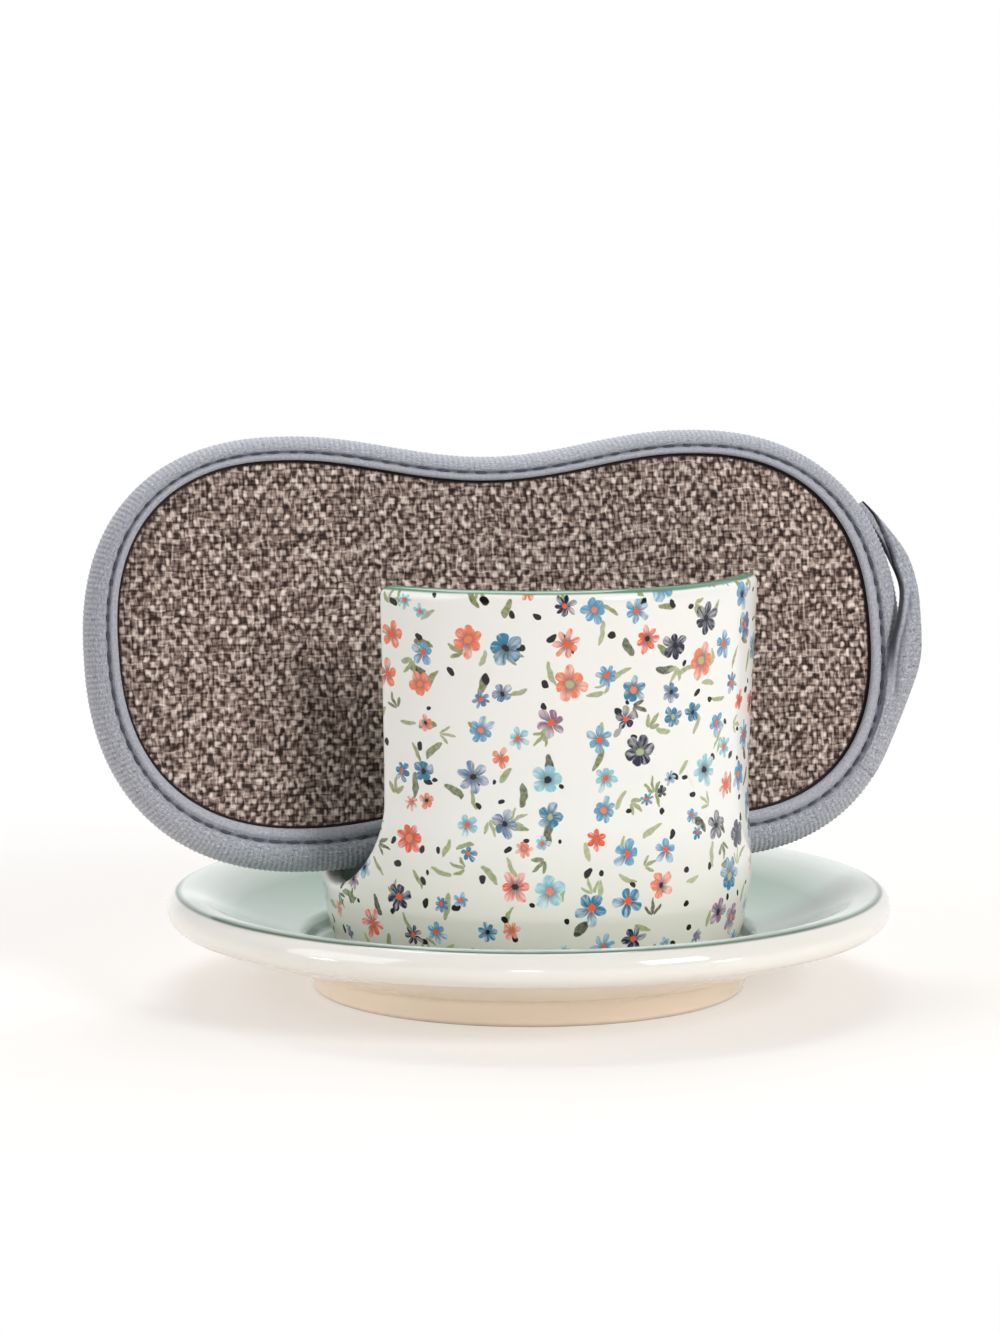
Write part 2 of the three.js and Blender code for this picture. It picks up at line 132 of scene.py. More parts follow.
STITCH_SIDES = 8
PAD_SHIFT = 7.3
PAD_SKEW = radians(6.5)
SEAT_GAP = 0.3
LAYER_GAP = 0.3

# Hanging loop
LOOP_TOP = 29.5
LOOP_BOTTOM = 31.0
LOOP_REACH = 4.2
LOOP_THICKNESS = 2.4
LOOP_UNROLL = (0.1, 0.5)
LOOP_WRAP_SHARE = 0.72
LOOP_SEAM_INSET = 2.3
LOOP_SEAM_WIDTH = 0.45
LOOP_STEPS = 24
LOOP_SIDES = 56
# Its course in equal steps of height: inner and outer edge, depth and thickness, as shares
LOOP_COURSE = (
    (-1.2, 0.12, -1, 0.06), (-1.2, 0.13, -1, 0.1), (-1.2, 0.22, -1, 0.22), (-1.2, 0.4, -1, 0.38),
    (-1.2, 0.62, -1, 0.5), (-1, 0.7, -1, 0.64), (-0.5, 0.77, -0.93, 0.83), (-0.02, 0.95, -0.68, 1),
    (0.02, 1.05, -0.3, 1), (0.01, 0.83, 0.1, 0.95), (0.02, 0.62, 0.5, 0.8),
)
# The fold on its front, dented in and painted with shade: share of the height, and place across it
LOOP_FOLD = ((0.68, 0.0), (0.78, 0.1), (0.85, 0.3), (0.9, 0.52), (0.95, 0.8), (1.0, 0.9))

# What follows from them
saucer_low, saucer_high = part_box("saucer")
AXIS_X = (saucer_low.x + saucer_high.x) / 2 / MM
CUP_X = AXIS_X + CUP_SHIFT
WELL_FLOOR = FOOT_RECESS + BASE_THICKNESS
CUP_TOP = CUP_BASE + CUP_HEIGHT
CUP_FLOOR_TOP = CUP_BASE + CUP_FOOT_RECESS + CUP_FLOOR
SLOT_RADIUS = SLOT_WIDTH / 2
SLOT_CENTRE = CUP_BASE + SLOT_FLOOR_HEIGHT + SLOT_RADIUS
LOBE_X = LOBE_SPACING / 2
EDGE_HALF = PAD_EDGE_THICKNESS / 2
ROUND_LAP = TAPE_LAP - TAPE_BEAD_WIDTH - TAPE_GROOVE_WIDTH
COVERED_HALF = EDGE_HALF - TAPE_THICKNESS - LAYER_GAP


def smoothstep(value, low, high):
    share = np.clip((value - low) / (high - low), 0, 1)
    return share * share * (3 - 2 * share)


def columns(*values):
    """Rows, from an array or number for each column."""
    return np.stack(np.broadcast_arrays(*values), axis=-1)


def lengths_along(points):
    return np.concatenate([[0], np.cumsum(np.hypot(*np.diff(points, axis=0).T))])


def signed_power(value, power):
    return np.sign(value) * np.abs(value) ** power


def full_turn(count):
    """Angles of a closed ring."""
    return np.linspace(0, 2 * pi, count, endpoint=False)


def new_object(name, data):
    obj = bpy.data.objects.new(name, data)
    scene.collection.objects.link(obj)
    return obj


def add_mesh(name, points, faces):
    """A smooth object from points in mm. A closed form's faces are turned outwards."""
    points = np.asarray(points, float) * MM
    corners = np.array([face[:3] for face in faces])
    a, b, c = np.moveaxis(points[corners], 1, 0)
    if np.einsum("ij,ij->", a, np.cross(b, c)) < 0:
        faces = [face[::-1] for face in faces]
    mesh = bpy.data.meshes.new(name)
    mesh.from_pydata(points.tolist(), [], faces)
    mesh.shade_smooth()
    return new_object(name, mesh)


def skin(rows, closed):
    """Points and faces through closed rings of points. Open ends get a fan."""
    rows = np.asarray(rows, float)
    count, width = rows.shape[:2]
    i, j = np.meshgrid(np.arange(count if closed else count - 1), np.arange(width), indexing="ij")
    k, m = (i + 1) % count, (j + 1) % width
    quads = columns(i * width + j, i * width + m, k * width + m, k * width + j)
    faces = quads.reshape(-1, 4).tolist()
    points = rows.reshape(-1, 3)
    if closed:
        return points, faces
    for row, order in ((0, -1), (count - 1, 1)):
        ring = row * width + np.arange(width)
        faces += columns(len(points), ring, np.roll(ring, -1))[:, ::order].tolist()
        points = np.vstack([points, rows[row].mean(axis=0)])
    return points, faces


def keep(obj, **fields):
    """Stores a number or vector per point for the material."""
    for name, values in fields.items():
        values = np.asarray(values, np.float32)
        kind, field = ("FLOAT", "value") if values.ndim == 1 else ("FLOAT_VECTOR", "vector")
        obj.data.attributes.new(name, kind, "POINT").data.foreach_set(field, values.ravel())


def points_of(obj):
    return np.array([v.co for v in obj.data.vertices])


def move_points(obj, points):
    obj.data.vertices.foreach_set("co", points.astype(np.float32).ravel())


def finish_piece(obj, body, slot, material, *nodes):
    """Puts a piece on its body, with its finish, in place of its CAD nodes."""
    if body == "pad":
        obj.data.transform(PAD_PLACE)
        obj.data.update()
    obj.data.materials.clear()
    obj.data.materials.append(material)
    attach(obj, body)
    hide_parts(*nodes)


# Node materials

def colour(red, green, blue):
    """A linear colour from sRGB values of 0 to 255."""
    shares = [value / 255 for value in (red, green, blue)]
    return (*(s / 12.92 if s <= 0.04045 else ((s + 0.055) / 1.055) ** 2.4 for s in shares), 1.0)


class Wire:
    """A node's output, which arithmetic turns into Math nodes."""

    def __init__(self, board, socket):
        self.board = board
        self.socket = socket

    def math(self, operation, *others):
        node = self.board.node("Math", {}, operation=operation)
        for socket, value in zip(node.inputs, (self, *others)):
            self.board.plug(socket, value)
        return Wire(self.board, node.outputs[0])

    __add__ = partialmethod(math, "ADD")
    __sub__ = partialmethod(math, "SUBTRACT")
    __mul__ = partialmethod(math, "MULTIPLY")
    __truediv__ = partialmethod(math, "DIVIDE")
    floor = partialmethod(math, "FLOOR")
    wrap = partialmethod(math, "FLOORED_MODULO")
    cos = partialmethod(math, "COSINE")
    sin = partialmethod(math, "SINE")
    abs = partialmethod(math, "ABSOLUTE")
    larger = partialmethod(math, "MAXIMUM")
    smaller = partialmethod(math, "MINIMUM")

    def root(self):
        return self.larger(0.0).math("SQRT")

    def reverse(self):
        """One minus this."""
        return self.math("MULTIPLY_ADD", -1.0, 1.0)

    def step(self, low, high):
        """A smooth step from 0 at low to 1 at high."""
        inputs = {"Value": self, "From Min": low, "From Max": high}
        return self.board.output("MapRange", inputs, "Result", interpolation_type="SMOOTHSTEP")


class Board:
    """The nodes of a new material, or of the world."""

    def __init__(self, name, world=None):
        self.owner = world or bpy.data.materials.new(name)
        self.owner.use_nodes = True
        self.tree = self.owner.node_tree

    def plug(self, socket, value):
        if isinstance(value, Wire):
            self.tree.links.new(value.socket, socket)
        else:
            socket.default_value = value

    def node(self, kind, inputs, **settings):
        made = self.tree.nodes.new("ShaderNode" + kind)
        for name, value in settings.items():
            setattr(made, name, value)
        for name, value in inputs.items():
            self.plug(made.inputs[name], value)
        return made

    def output(self, kind, inputs, name=0, **settings):
        return Wire(self, self.node(kind, inputs, **settings).outputs[name])

    def wires(self, node, *names):
        return [Wire(self, node.outputs[name]) for name in names]

    def attribute(self, name, kind="Fac"):
        return self.output("Attribute", {}, kind, attribute_name=name)

    def object_place(self):
        return self.output("TexCoord", {}, "Object")

    def split(self, vector):
        return self.wires(self.node("SeparateXYZ", {"Vector": vector}), "X", "Y", "Z")

    def split_colour(self, wire):
        return self.wires(self.node("SeparateColor", {"Color": wire}), "Red", "Green", "Blue")

    def vector(self, x, y, z=0.0):
        return self.output("CombineXYZ", {"X": x, "Y": y, "Z": z})

    def noise(self, vector, scale, detail=2.0, kind="Fac"):
        return self.output("TexNoise", {"Vector": vector, "Scale": scale, "Detail": detail}, kind)

    def grain(self, x, y, z=0.0, detail=0.0):
        return self.noise(self.vector(x, y, z), 1.0, detail)

    def drift(self, vector, scale):
        """Two smooth offsets about zero."""
        red, green, _ = self.split_colour(self.noise(vector, scale, 1.0, "Color"))
        return red - 0.5, green - 0.5

    def chance(self, vector):
        """A random number for each different vector."""
        return self.output("TexWhiteNoise", {"Vector": vector}, "Value", noise_dimensions="2D")

    def ramp(self, factor, stops, interpolation="LINEAR"):
        """Colours along a factor. Places are set first, because that sorts the stops."""
        node = self.node("ValToRGB", {"Fac": factor})
        node.color_ramp.interpolation = interpolation
        elements = node.color_ramp.elements
        while len(elements) < len(stops):
            elements.new(1.0)
        for field, values in zip(("position", "color"), zip(*stops)):
            for element, value in zip(elements, values):
                setattr(element, field, value)
        return Wire(self, node.outputs["Color"])

    def mix(self, factor, first, second, blend="MIX"):
        return self.output("Mix", {0: factor, 6: first, 7: second}, 2, data_type="RGBA", blend_type=blend)

    def bump(self, height, distance, strength=1.0):
        return self.output("Bump", {"Height": height, "Distance": distance * MM, "Strength": strength})

    def finish(self, base, roughness, normal=None, **others):
        inputs = {"Base Color": base, "Roughness": roughness, **others}
        if normal is not None:
            inputs["Normal"] = normal
        for name, value in inputs.items():
            self.plug(self.tree.nodes["Principled BSDF"].inputs[name.replace("_", " ")], value)
        return self.owner


MINT = colour(158, 180, 170)
PALE_MINT = colour(221, 230, 225)
# Painted shade on the well's wall, round the cup's foot
WELL_SHADE_MINT = colour(136, 162, 151)
RIM_GREEN = colour(92, 136, 110)
LINE_GREEN = colour(52, 92, 66)
CREAM = colour(225, 223, 217)
# Painted shade on the cream, darker and warmer into the corner above the foot
FOOT_SHADE_CREAM = colour(226, 217, 202)
BARE_CLAY = colour(250, 234, 214)
# Painted contact shadow on the foot ring where it stands on the floor
CONTACT_SHADOW_BROWN = colour(112, 86, 66)


def saucer_material(marks, total):
    """Mint inside, a green line on the lip, cream outside and a bare foot ring. Painted shade darkens the
    well's wall and the corner above the foot, and a painted contact shadow browns the ring where it stands
    on the floor.
    """
    board = Board("saucer_glaze_nodes")
    place = board.object_place()
    wander = board.noise(place, 60.0) - 0.5
    along = board.attribute("along") + wander * 0.3
    line_start = marks["lip_top"] + RIM_LINE_OFFSET - RIM_LINE_WIDTH / 2
    line_end = line_start + RIM_LINE_WIDTH
    names = ("well_edge", "shelf", "lip_out", "foot_top", "foot_edge", "recess")
    edge, shelf, lip, foot, ring, recess = (marks[name] for name in names)
    # The darker mint on the well's wall, the warmer cream above the foot and the brown on the ring are
    # painted shade
    tones = (
        (0.0, MINT), (edge - 3, MINT), (edge, WELL_SHADE_MINT), (edge + 4, MINT), (shelf - 8, MINT),
        (shelf, PALE_MINT), (line_start, PALE_MINT), (line_start + RIM_LINE_FADE, LINE_GREEN),
        (line_end - RIM_LINE_FADE, LINE_GREEN), (line_end, CREAM), (lip, CREAM), (foot, FOOT_SHADE_CREAM),
        (foot + 5, BARE_CLAY), (ring, BARE_CLAY), (ring + 0.5, CONTACT_SHADOW_BROWN), (recess, BARE_CLAY),
        (total, BARE_CLAY),
    )
    base = board.ramp(along / total, [(mark / total, tone) for mark, tone in tones])
    tone = board.noise(place, 25.0).step(0.2, 0.8)
    base = board.mix(tone * 0.06, base, colour(215, 208, 196), "MULTIPLY")
    wave = board.noise(place, 45.0, 1.0)
    return board.finish(base, 0.09, board.bump(wave, 0.25, 0.35), IOR=1.52, Coat_Weight=0.25)


def build_saucer():
    profile = saucer_profile()
    points = np.array(profile.points)
    along = lengths_along(points)
    turns = full_turn(SAUCER_SIDES)
    radius, height = points[1:-1, :1], points[1:-1, 1:]
    rows = columns(AXIS_X + radius * np.cos(turns), radius * np.sin(turns), height)
    saucer = add_mesh("saucer_body", *skin(rows, False))
    keep(saucer, along=np.concatenate([np.repeat(along[1:-1], SAUCER_SIDES), along[[0, -1]]]))
    marks = {name: along[index] for name, index in profile.marks.items()}
    finish_piece(saucer, "saucer", "saucer_glaze", saucer_material(marks, along[-1]), "saucer")


class Profile:
    """Points drawn stretch by stretch, and the number of each stretch's first."""

    def __init__(self, start):
        self.points = [np.array(start)]
        self.marks = {}

    def add(self, name, points):
        self.marks[name] = len(self.points)
        self.points.extend(points)

    def arc(self, name, centre, radius, start, end, count=14):
        angles = np.radians(np.linspace(start, end, count)[1:])
        self.add(name, centre + radius * columns(np.cos(angles), np.sin(angles)))

    def to(self, name, count, end, bend=None):
        """A straight line, or a quadratic curve drawn towards a bend."""
        start = self.points[-1]
        middle = bend or (start + end) / 2
        t = np.linspace(0, 1, count)[1:, None]
        self.add(name, (1 - t) ** 2 * start + 2 * t * (1 - t) * middle + t ** 2 * end)


def saucer_profile():
    """(radius, height) from the well's middle over the lip to the base's middle."""
    well_top = WELL_FLOOR + WELL_DEPTH
    well_foot = WELL_RADIUS - WELL_DRAFT
    lip = (SAUCER_RADIUS - LIP_RADIUS, SAUCER_HEIGHT - LIP_RADIUS)
    shelf = (lip[0] - LIP_SHELF, SAUCER_HEIGHT - SHELF_DROP)
    foot_side = FOOT_RADIUS + FOOT_FLARE
    fillet_top = FOOT_HEIGHT + FOOT_FILLET / 2
    ring_inner = FOOT_RADIUS - FOOT_RING_WIDTH
    edge = FOOT_EDGE_RADIUS
    rise = WELL_CORNER_RISE
    pen = Profile((0.0, WELL_FLOOR))
    pen.to("well_floor", 30, (well_foot - WELL_CORNER_RUN, WELL_FLOOR))
    pen.to("well_corner", 6, (well_foot + rise[0], WELL_FLOOR + rise[1]), (well_foot, WELL_FLOOR))
    pen.to("well_edge", 2, (WELL_RADIUS - WELL_DRAFT / 2, well_top - WELL_EDGE_RADIUS))
    pen.to("well_round", 8, (WELL_RADIUS + WELL_EDGE_RADIUS, well_top), (WELL_RADIUS, well_top))
    pen.to("dish", 30, shelf, ((shelf[0] + WELL_RADIUS) / 2, (SAUCER_HEIGHT + well_top) / 2 - DISH_SAG))
    pen.to("shelf", 10, (lip[0], SAUCER_HEIGHT), (lip[0] - LIP_SHELF / 2, SAUCER_HEIGHT))
    pen.arc("lip_top", lip, LIP_RADIUS, 90, 0)
    pen.arc("lip_out", lip, LIP_RADIUS, 0, -90)
    pen.to("underside", 22, (foot_side + 2 * FOOT_FILLET, fillet_top))
    pen.to("foot_top", 10, (foot_side, FOOT_HEIGHT - FOOT_FILLET / 2), (foot_side, fillet_top))
    pen.to("foot_side", 5, (FOOT_RADIUS, edge))
    pen.to("foot_edge", 5, (FOOT_RADIUS - edge, 0.0), (FOOT_RADIUS, 0.0))
    pen.to("ring", 6, (ring_inner + edge, 0.0))
    pen.to("ring_inner", 5, (ring_inner - edge, edge), (ring_inner, 0.0))
    recess_edge = ring_inner - FOOT_RECESS
    pen.to("recess", 8, (recess_edge - FOOT_RECESS, FOOT_RECESS), (recess_edge, FOOT_RECESS))
    pen.to("base", 24, (0.0, FOOT_RECESS))
    return pen


# Cup

def spline(knots, steps):
    """A smooth curve through knots, with this many steps between two of them."""
    knots = np.array(knots, float)
    padded = np.vstack([2 * knots[0] - knots[1], knots, 2 * knots[-1] - knots[-2]])
    t = np.linspace(0, 1, steps, endpoint=False)[:, None]
    spans = []
    for a, b, c, d in zip(padded, padded[1:], padded[2:], padded[3:]):
        spans.append(b + t * (c - a) / 2 + t ** 2 * (a - 2.5 * b + 2 * c - d / 2)
                     + t ** 3 * (1.5 * b - 1.5 * c + (d - a) / 2))
    return np.vstack([*spans, knots[-1:]])


wall_curve = spline(CUP_WALL_POINTS, 60)
wall_heights, wall_radii = wall_curve[:, 1] + CUP_BASE, wall_curve[:, 0]


def round_max(radius, *fields):
    """Common part of solids given by their distances, with its edges rounded."""
    stacked = np.stack(fields)
    over = np.linalg.norm(np.maximum(stacked + radius, 0), axis=0)
    return np.minimum(stacked.max(axis=0), -radius) + over


def cup_outside(r, z):
    """Distance outside the cup's outer form, as if it were solid."""
    wall = r - np.interp(z, wall_heights, wall_radii)
    slope = atan2(CUP_HEEL_INSET, CUP_HEEL_HEIGHT)
    heel = (r - CUP_BASE_RADIUS) * cos(slope) - (z - CUP_BASE - CUP_HEEL_HEIGHT) * sin(slope)
    return round_max(CUP_EDGE_RADIUS, wall, heel, CUP_BASE - z)


def cup_cavity(r, z):
    """Distance outside the cup's hollow."""
    wall = r - np.interp(z, wall_heights, wall_radii) + CUP_WALL
    return round_max(CUP_FLOOR_FILLET, wall, CUP_FLOOR_TOP - z)


def slot_distance(y, z):
    """Distance outside the round-bottomed slot, which widens towards the rim."""
    above = np.clip((z - SLOT_CENTRE) / (CUP_TOP - SLOT_CENTRE), 0, 1)
    return np.hypot(y, np.minimum(z - SLOT_CENTRE, 0)) - SLOT_RADIUS - SLOT_FLARE * above


def cup_field(points):
    """Signed distance to the cup: below zero in the ceramic."""
    x, y, z = np.moveaxis(points, -1, 0)
    x = x - CUP_X
    r = np.hypot(x, y)
    shell = round_max(CUP_WALL / 2 - 0.05, cup_outside(r, z), -cup_cavity(r, z), z - CUP_TOP)
    ring_inner = CUP_BASE_RADIUS - CUP_HEEL_INSET - CUP_FOOT_RING_WIDTH
    recess = np.maximum(r - ring_inner, z - CUP_BASE - CUP_FOOT_RECESS)
    turn = 2 * pi / DRAIN_COUNT
    angle = (np.arctan2(y, x) - pi / 2 + turn / 2) % turn - turn / 2
    drain = np.hypot(r * np.cos(angle) - DRAIN_RING_RADIUS, r * np.sin(angle)) - DRAIN_RADIUS
    shell = round_max(CUP_EDGE_RADIUS, shell, -recess, -drain)
    return round_max(CUT_EDGE_RADIUS, shell, -slot_distance(y, z))


def surface_net(field, low, high, step):
    """Points and quads of a field's zero surface, one point for each cell it crosses."""
    axes = [np.arange(a, b, step) for a, b in zip(low, high)]
    grid = columns(*np.meshgrid(*axes, indexing="ij"))
    value = field(grid)
    total, hits = np.zeros((value.size, 3)), np.zeros(value.size)
    quads = []
    for axis in range(3):
        u, v = np.roll(np.eye(3, dtype=int), -axis, axis=0)[1:]
        near, far = (np.take(value, range(first, value.shape[axis] - 1 + first), axis) for first in (0, 1))
        at = np.argwhere((near < 0) != (far < 0))
        near, far = near[tuple(at.T)], far[tuple(at.T)]
        crossing = grid[tuple(at.T)].copy()
        crossing[:, axis] += step * near / (near - far)
        cells_round = (at, at - u, at - u - v, at - v)
        ring = columns(*(np.ravel_multi_index(tuple(cell.T), value.shape) for cell in cells_round))
        for corner in ring.T:
            np.add.at(total, corner, crossing)
            np.add.at(hits, corner, 1)
        quads.append(np.where((near < 0)[:, None], ring, ring[:, ::-1]))
    used, faces = np.unique(np.vstack(quads), return_inverse=True)
    return total[used] / hits[used, None], faces.reshape(-1, 4)


def drawn_onto(field, points, rounds=4, reach=0.05):
    """Points moved along the field's slope until they lie on its surface."""
    for _ in range(rounds):
        sides = reach * np.eye(3)
        slope = columns(*(field(points + side) - field(points - side) for side in sides)) / (2 * reach)
        size = np.maximum((slope ** 2).sum(axis=-1), 0.1)
        points = points - np.clip(field(points) / size, -CUP_STEP, CUP_STEP)[:, None] * slope
    return points


def evened(points, quads, share=0.5):
    """Points moved part of the way to the middle of their neighbours."""
    total, hits = np.zeros_like(points), np.zeros(len(points))
    for here in range(4):
        for there in (here - 1, here - 3):
            np.add.at(total, quads[:, here], points[quads[:, there]])
            np.add.at(hits, quads[:, here], 1)
    return points + share * (total / hits[:, None] - points)


def map_print(obj, points):
    """A UV map of the unrolled wall, arc length and height, cut at the slot's right end."""
    turn = np.arctan2(points[:, 1], points[:, 0] - CUP_X) % (2 * pi)
    corners = np.zeros(len(obj.data.loops), np.int32)
    obj.data.loops.foreach_get("vertex_index", corners)
    starts = turn[corners].reshape(-1, 4)
    torn = np.ptp(starts, axis=1, keepdims=True) > pi
    starts = np.where(torn & (starts > pi), starts - 2 * pi, starts)
    unrolled = columns(starts.ravel() * CUP_RIM_RADIUS, points[corners, 2]) / PRINT_UNIT
    layer = obj.data.uv_layers.new(name="wall_map")
    layer.data.foreach_set("uv", unrolled.astype(np.float32).ravel())


SKY = colour(98, 164, 200)
AQUA = colour(146, 204, 216)
DENIM = colour(84, 122, 164)
TEAL = colour(42, 128, 164)
NAVY = colour(26, 30, 58)
INK = colour(38, 54, 84)
CORAL = colour(246, 132, 92)
ORANGE = colour(244, 92, 44)
MAUVE = colour(150, 108, 138)
LEAF = colour(138, 150, 84)
PALE_LEAF = colour(178, 186, 142)
DARK_LEAF = colour(58, 66, 38)
BUD = colour(16, 6, 11)
PRINT_GROUND = colour(250, 249, 244)
# Painted shade and a painted reflection of the saucer, low on the cup
LOW_SHADED_GROUND = colour(226, 221, 205)
FLOWER_TONES = [
    (0.0, SKY), (0.18, AQUA), (0.32, DENIM), (0.44, SKY), (0.58, TEAL), (0.66, NAVY), (0.72, MAUVE),
    (0.75, CORAL), (0.86, ORANGE), (0.93, AQUA),
]


def cells(board, u, v, size, seed, randomness):
    """Scattered motifs: offsets from the nearest and its room in mm, and random numbers."""
    vector = board.vector(u / size + seed, v / size + seed)
    inputs = {"Vector": vector, "Scale": 1.0, "Randomness": randomness}
    spot = board.node("TexVoronoi", inputs, voronoi_dimensions="2D")
    room = board.output("TexVoronoi", inputs, "Radius", voronoi_dimensions="2D", feature="N_SPHERE_RADIUS")
    place, shade = board.wires(spot, "Position", "Color")
    x, y, _ = board.split(place)
    return u - (x - seed) * size, v - (y - seed) * size, room * size, board.split_colour(shade)


def flowers(board, u, v, largest):
    """Scattered flowers: masks of petals and centres, shading and random numbers."""
    across, up, room, chances = cells(board, u, v, size=9.0, seed=5.3, randomness=0.78)
    first, _, third = chances
    reach = (across * across + up * up).root()
    radius = room.smaller(largest) * (third * 0.2 + 0.8)
    count = (first * 2.99 + 5.0).floor()
    sector = count.math("POWER", -1.0) * (2 * pi)
    turn = up.math("ARCTAN2", across) + third * 6.0
    fold = turn.wrap(sector) - sector * 0.5
    petal = board.chance(board.vector((turn / sector).floor().wrap(count), first * 57.0))
    length = radius * (petal * 0.34 + 0.74)
    along = (reach * fold.cos() - length * 0.58) / (length * 0.44)
    wide = radius * sector * (third * 0.07 + 0.22) * (along * 0.22 + 1.0)
    beside = reach * fold.sin() / wide
    petals = (along * along + beside * beside).step(1.14, 0.84)
    centre = (reach / radius).step(0.27, 0.17)
    brush = board.grain(turn * 4.0, reach * 0.4, first * 31.0, 1.0)
    streak = brush + (petal - 0.5) * 0.35
    region = board.noise(board.vector(u - across, v - up), 0.03, 1.0).step(0.25, 0.75)
    return petals, centre, along, streak, region, chances


def stroke(across, up, turn, start, length, width, bend):
    """Mask of a tapered brush stroke that leaves a motif's middle at a turn."""
    along = across * turn.cos() + up * turn.sin() - start
    beside = up * turn.cos() - across * turn.sin() + along * along * bend
    share = along / length
    taper = (share * share.reverse() * 4.0).root()
    ends = share.step(0.0, 0.02) * share.step(1.0, 0.98)
    return (taper * width - beside.abs()).step(-0.08, 0.16) * ends


def leaves(board, u, v):
    """Mask of scattered leaves, and a random number for their shade."""
    across, up, _, (first, second, third) = cells(board, u, v, size=8.4, seed=3.7, randomness=0.9)
    half = second * 1.2 + 1.9
    mask = stroke(across, up, first * 6.28, half * -1.0, half * 2.0, third * 0.5 + 0.5, 0.05)
    return mask * second.step(0.8, 0.78), third


def sprigs(board, u, v):
    """Mask of scattered three-leaved sprigs, and a random number for their shade."""
    across, up, _, (first, second, third) = cells(board, u, v, size=15.0, seed=41.3, randomness=0.9)
    mask = None
    for lean, length in ((-0.75, 2.6), (0.0, 3.6), (0.7, 2.9)):
        leaf = stroke(across, up, first * 6.28 + lean, 0.3, length, third * 0.2 + 0.36, 0.06)
        mask = leaf if mask is None else mask.larger(leaf)
    return mask, second


def buds(board, u, v):
    """Mask of scattered small dark buds."""
    across, up, _, (first, second, third) = cells(board, u, v, size=7.2, seed=17.9, randomness=1.0)
    turn = third * 6.28
    long = (across * turn.cos() + up * turn.sin()) / (first * 0.6 + 0.55)
    short = (up * turn.cos() - across * turn.sin()) / (first * 0.34 + 0.42)
    return (long * long + short * short).step(1.25, 0.8) * second.step(0.56, 0.54)


def print_colours(board):
    """Scattered small flowers, leaves and buds on a cream ground that is painted darker low down."""
    x, y, _ = board.split(board.output("UVMap", {}, "UV", uv_map="wall_map"))
    u, v = x * PRINT_UNIT, y * PRINT_UNIT
    place = board.vector(u, v)
    shift_u, shift_v = board.drift(place, 0.4)
    u, v = u + shift_u * 1.1, v + shift_v * 1.1
    brush = board.noise(place, 1.1, 2.0)
    # The ground darkens towards the bottom: painted shade and a painted reflection of the saucer
    base = board.ramp(v / PRINT_UNIT, [(0.12, LOW_SHADED_GROUND), (0.42, PRINT_GROUND)])
    for mask, shade in (leaves(board, u, v), sprigs(board, u, v)):
        green = board.ramp(shade, [(0.0, LEAF), (0.35, PALE_LEAF), (0.6, LEAF), (0.95, DARK_LEAF)])
        base = board.mix(mask * (brush * 0.7 + 0.55).smaller(1.0), base, green)
    base = board.mix(buds(board, u, v), base, BUD)
    petals, centre, along, streak, region, (first, second, third) = flowers(board, u, v, largest=4.4)
    pick = (second * 0.7 + region * 0.6).wrap(1.0)
    petal = board.ramp(pick, FLOWER_TONES, "CONSTANT")
    petal = board.mix((streak - 0.4) * 1.5, petal, PRINT_GROUND)
    petal = board.mix(along.step(0.3, -1.0) * (streak * 0.8 + 0.2), petal, INK)
    present = first.step(0.94, 0.93)
    base = board.mix(petals * present, base, petal)
    middle = board.ramp(third, [(0.0, ORANGE), (0.4, BUD), (0.7, CORAL), (0.88, PALE_LEAF)], "CONSTANT")
    return board.mix(centre * present, base, middle)


def cup_material():
    """Printed cream outside, mint inside, white cut edges and a green line on the rim."""
    board = Board("cup_glaze_nodes")
    place = board.object_place()
    height = board.split(place)[2] / MM
    tone = board.noise(place, 30.0)
    outer = board.attribute("outer_depth").step(1.0, 0.6)
    inner = board.attribute("inner_depth").step(1.1, 0.5)
    base = board.mix(outer, CREAM, print_colours(board))
    base = board.mix(inner, base, MINT)
    line_low = CUP_TOP - CUP_LINE_WIDTH
    line = (height + (tone - 0.5) * 0.8).step(line_low - CUP_LINE_FADE, line_low + CUP_LINE_FADE)
    base = board.mix(line, base, RIM_GREEN)
    wave = board.noise(place, 38.0, 1.0)
    return board.finish(base, 0.1, board.bump(wave, 0.3, 0.35), IOR=1.5)


def build_cup():
    reach = CUP_RIM_RADIUS + 2
    low = (CUP_X - reach, -reach, CUP_BASE - 2)
    high = (CUP_X + reach, reach, CUP_TOP + 2)
    points, quads = surface_net(cup_field, low, high, CUP_STEP)
    points = drawn_onto(cup_field, points)
    for _ in range(3):
        points = drawn_onto(cup_field, evened(points, quads), 2)
    cup = add_mesh("cup_body", points, quads.tolist())
    r = np.hypot(points[:, 0] - CUP_X, points[:, 1])
    z = points[:, 2]
    keep(cup, outer_depth=-cup_outside(r, z), inner_depth=cup_cavity(r, z))
    map_print(cup, points)
    finish_piece(cup, "cup", "cup_glaze", cup_material(), "holder_cup")


# Scrub pad. Its own axes are X along it, Y through it with the front at -Y, and Z up, from its middle.

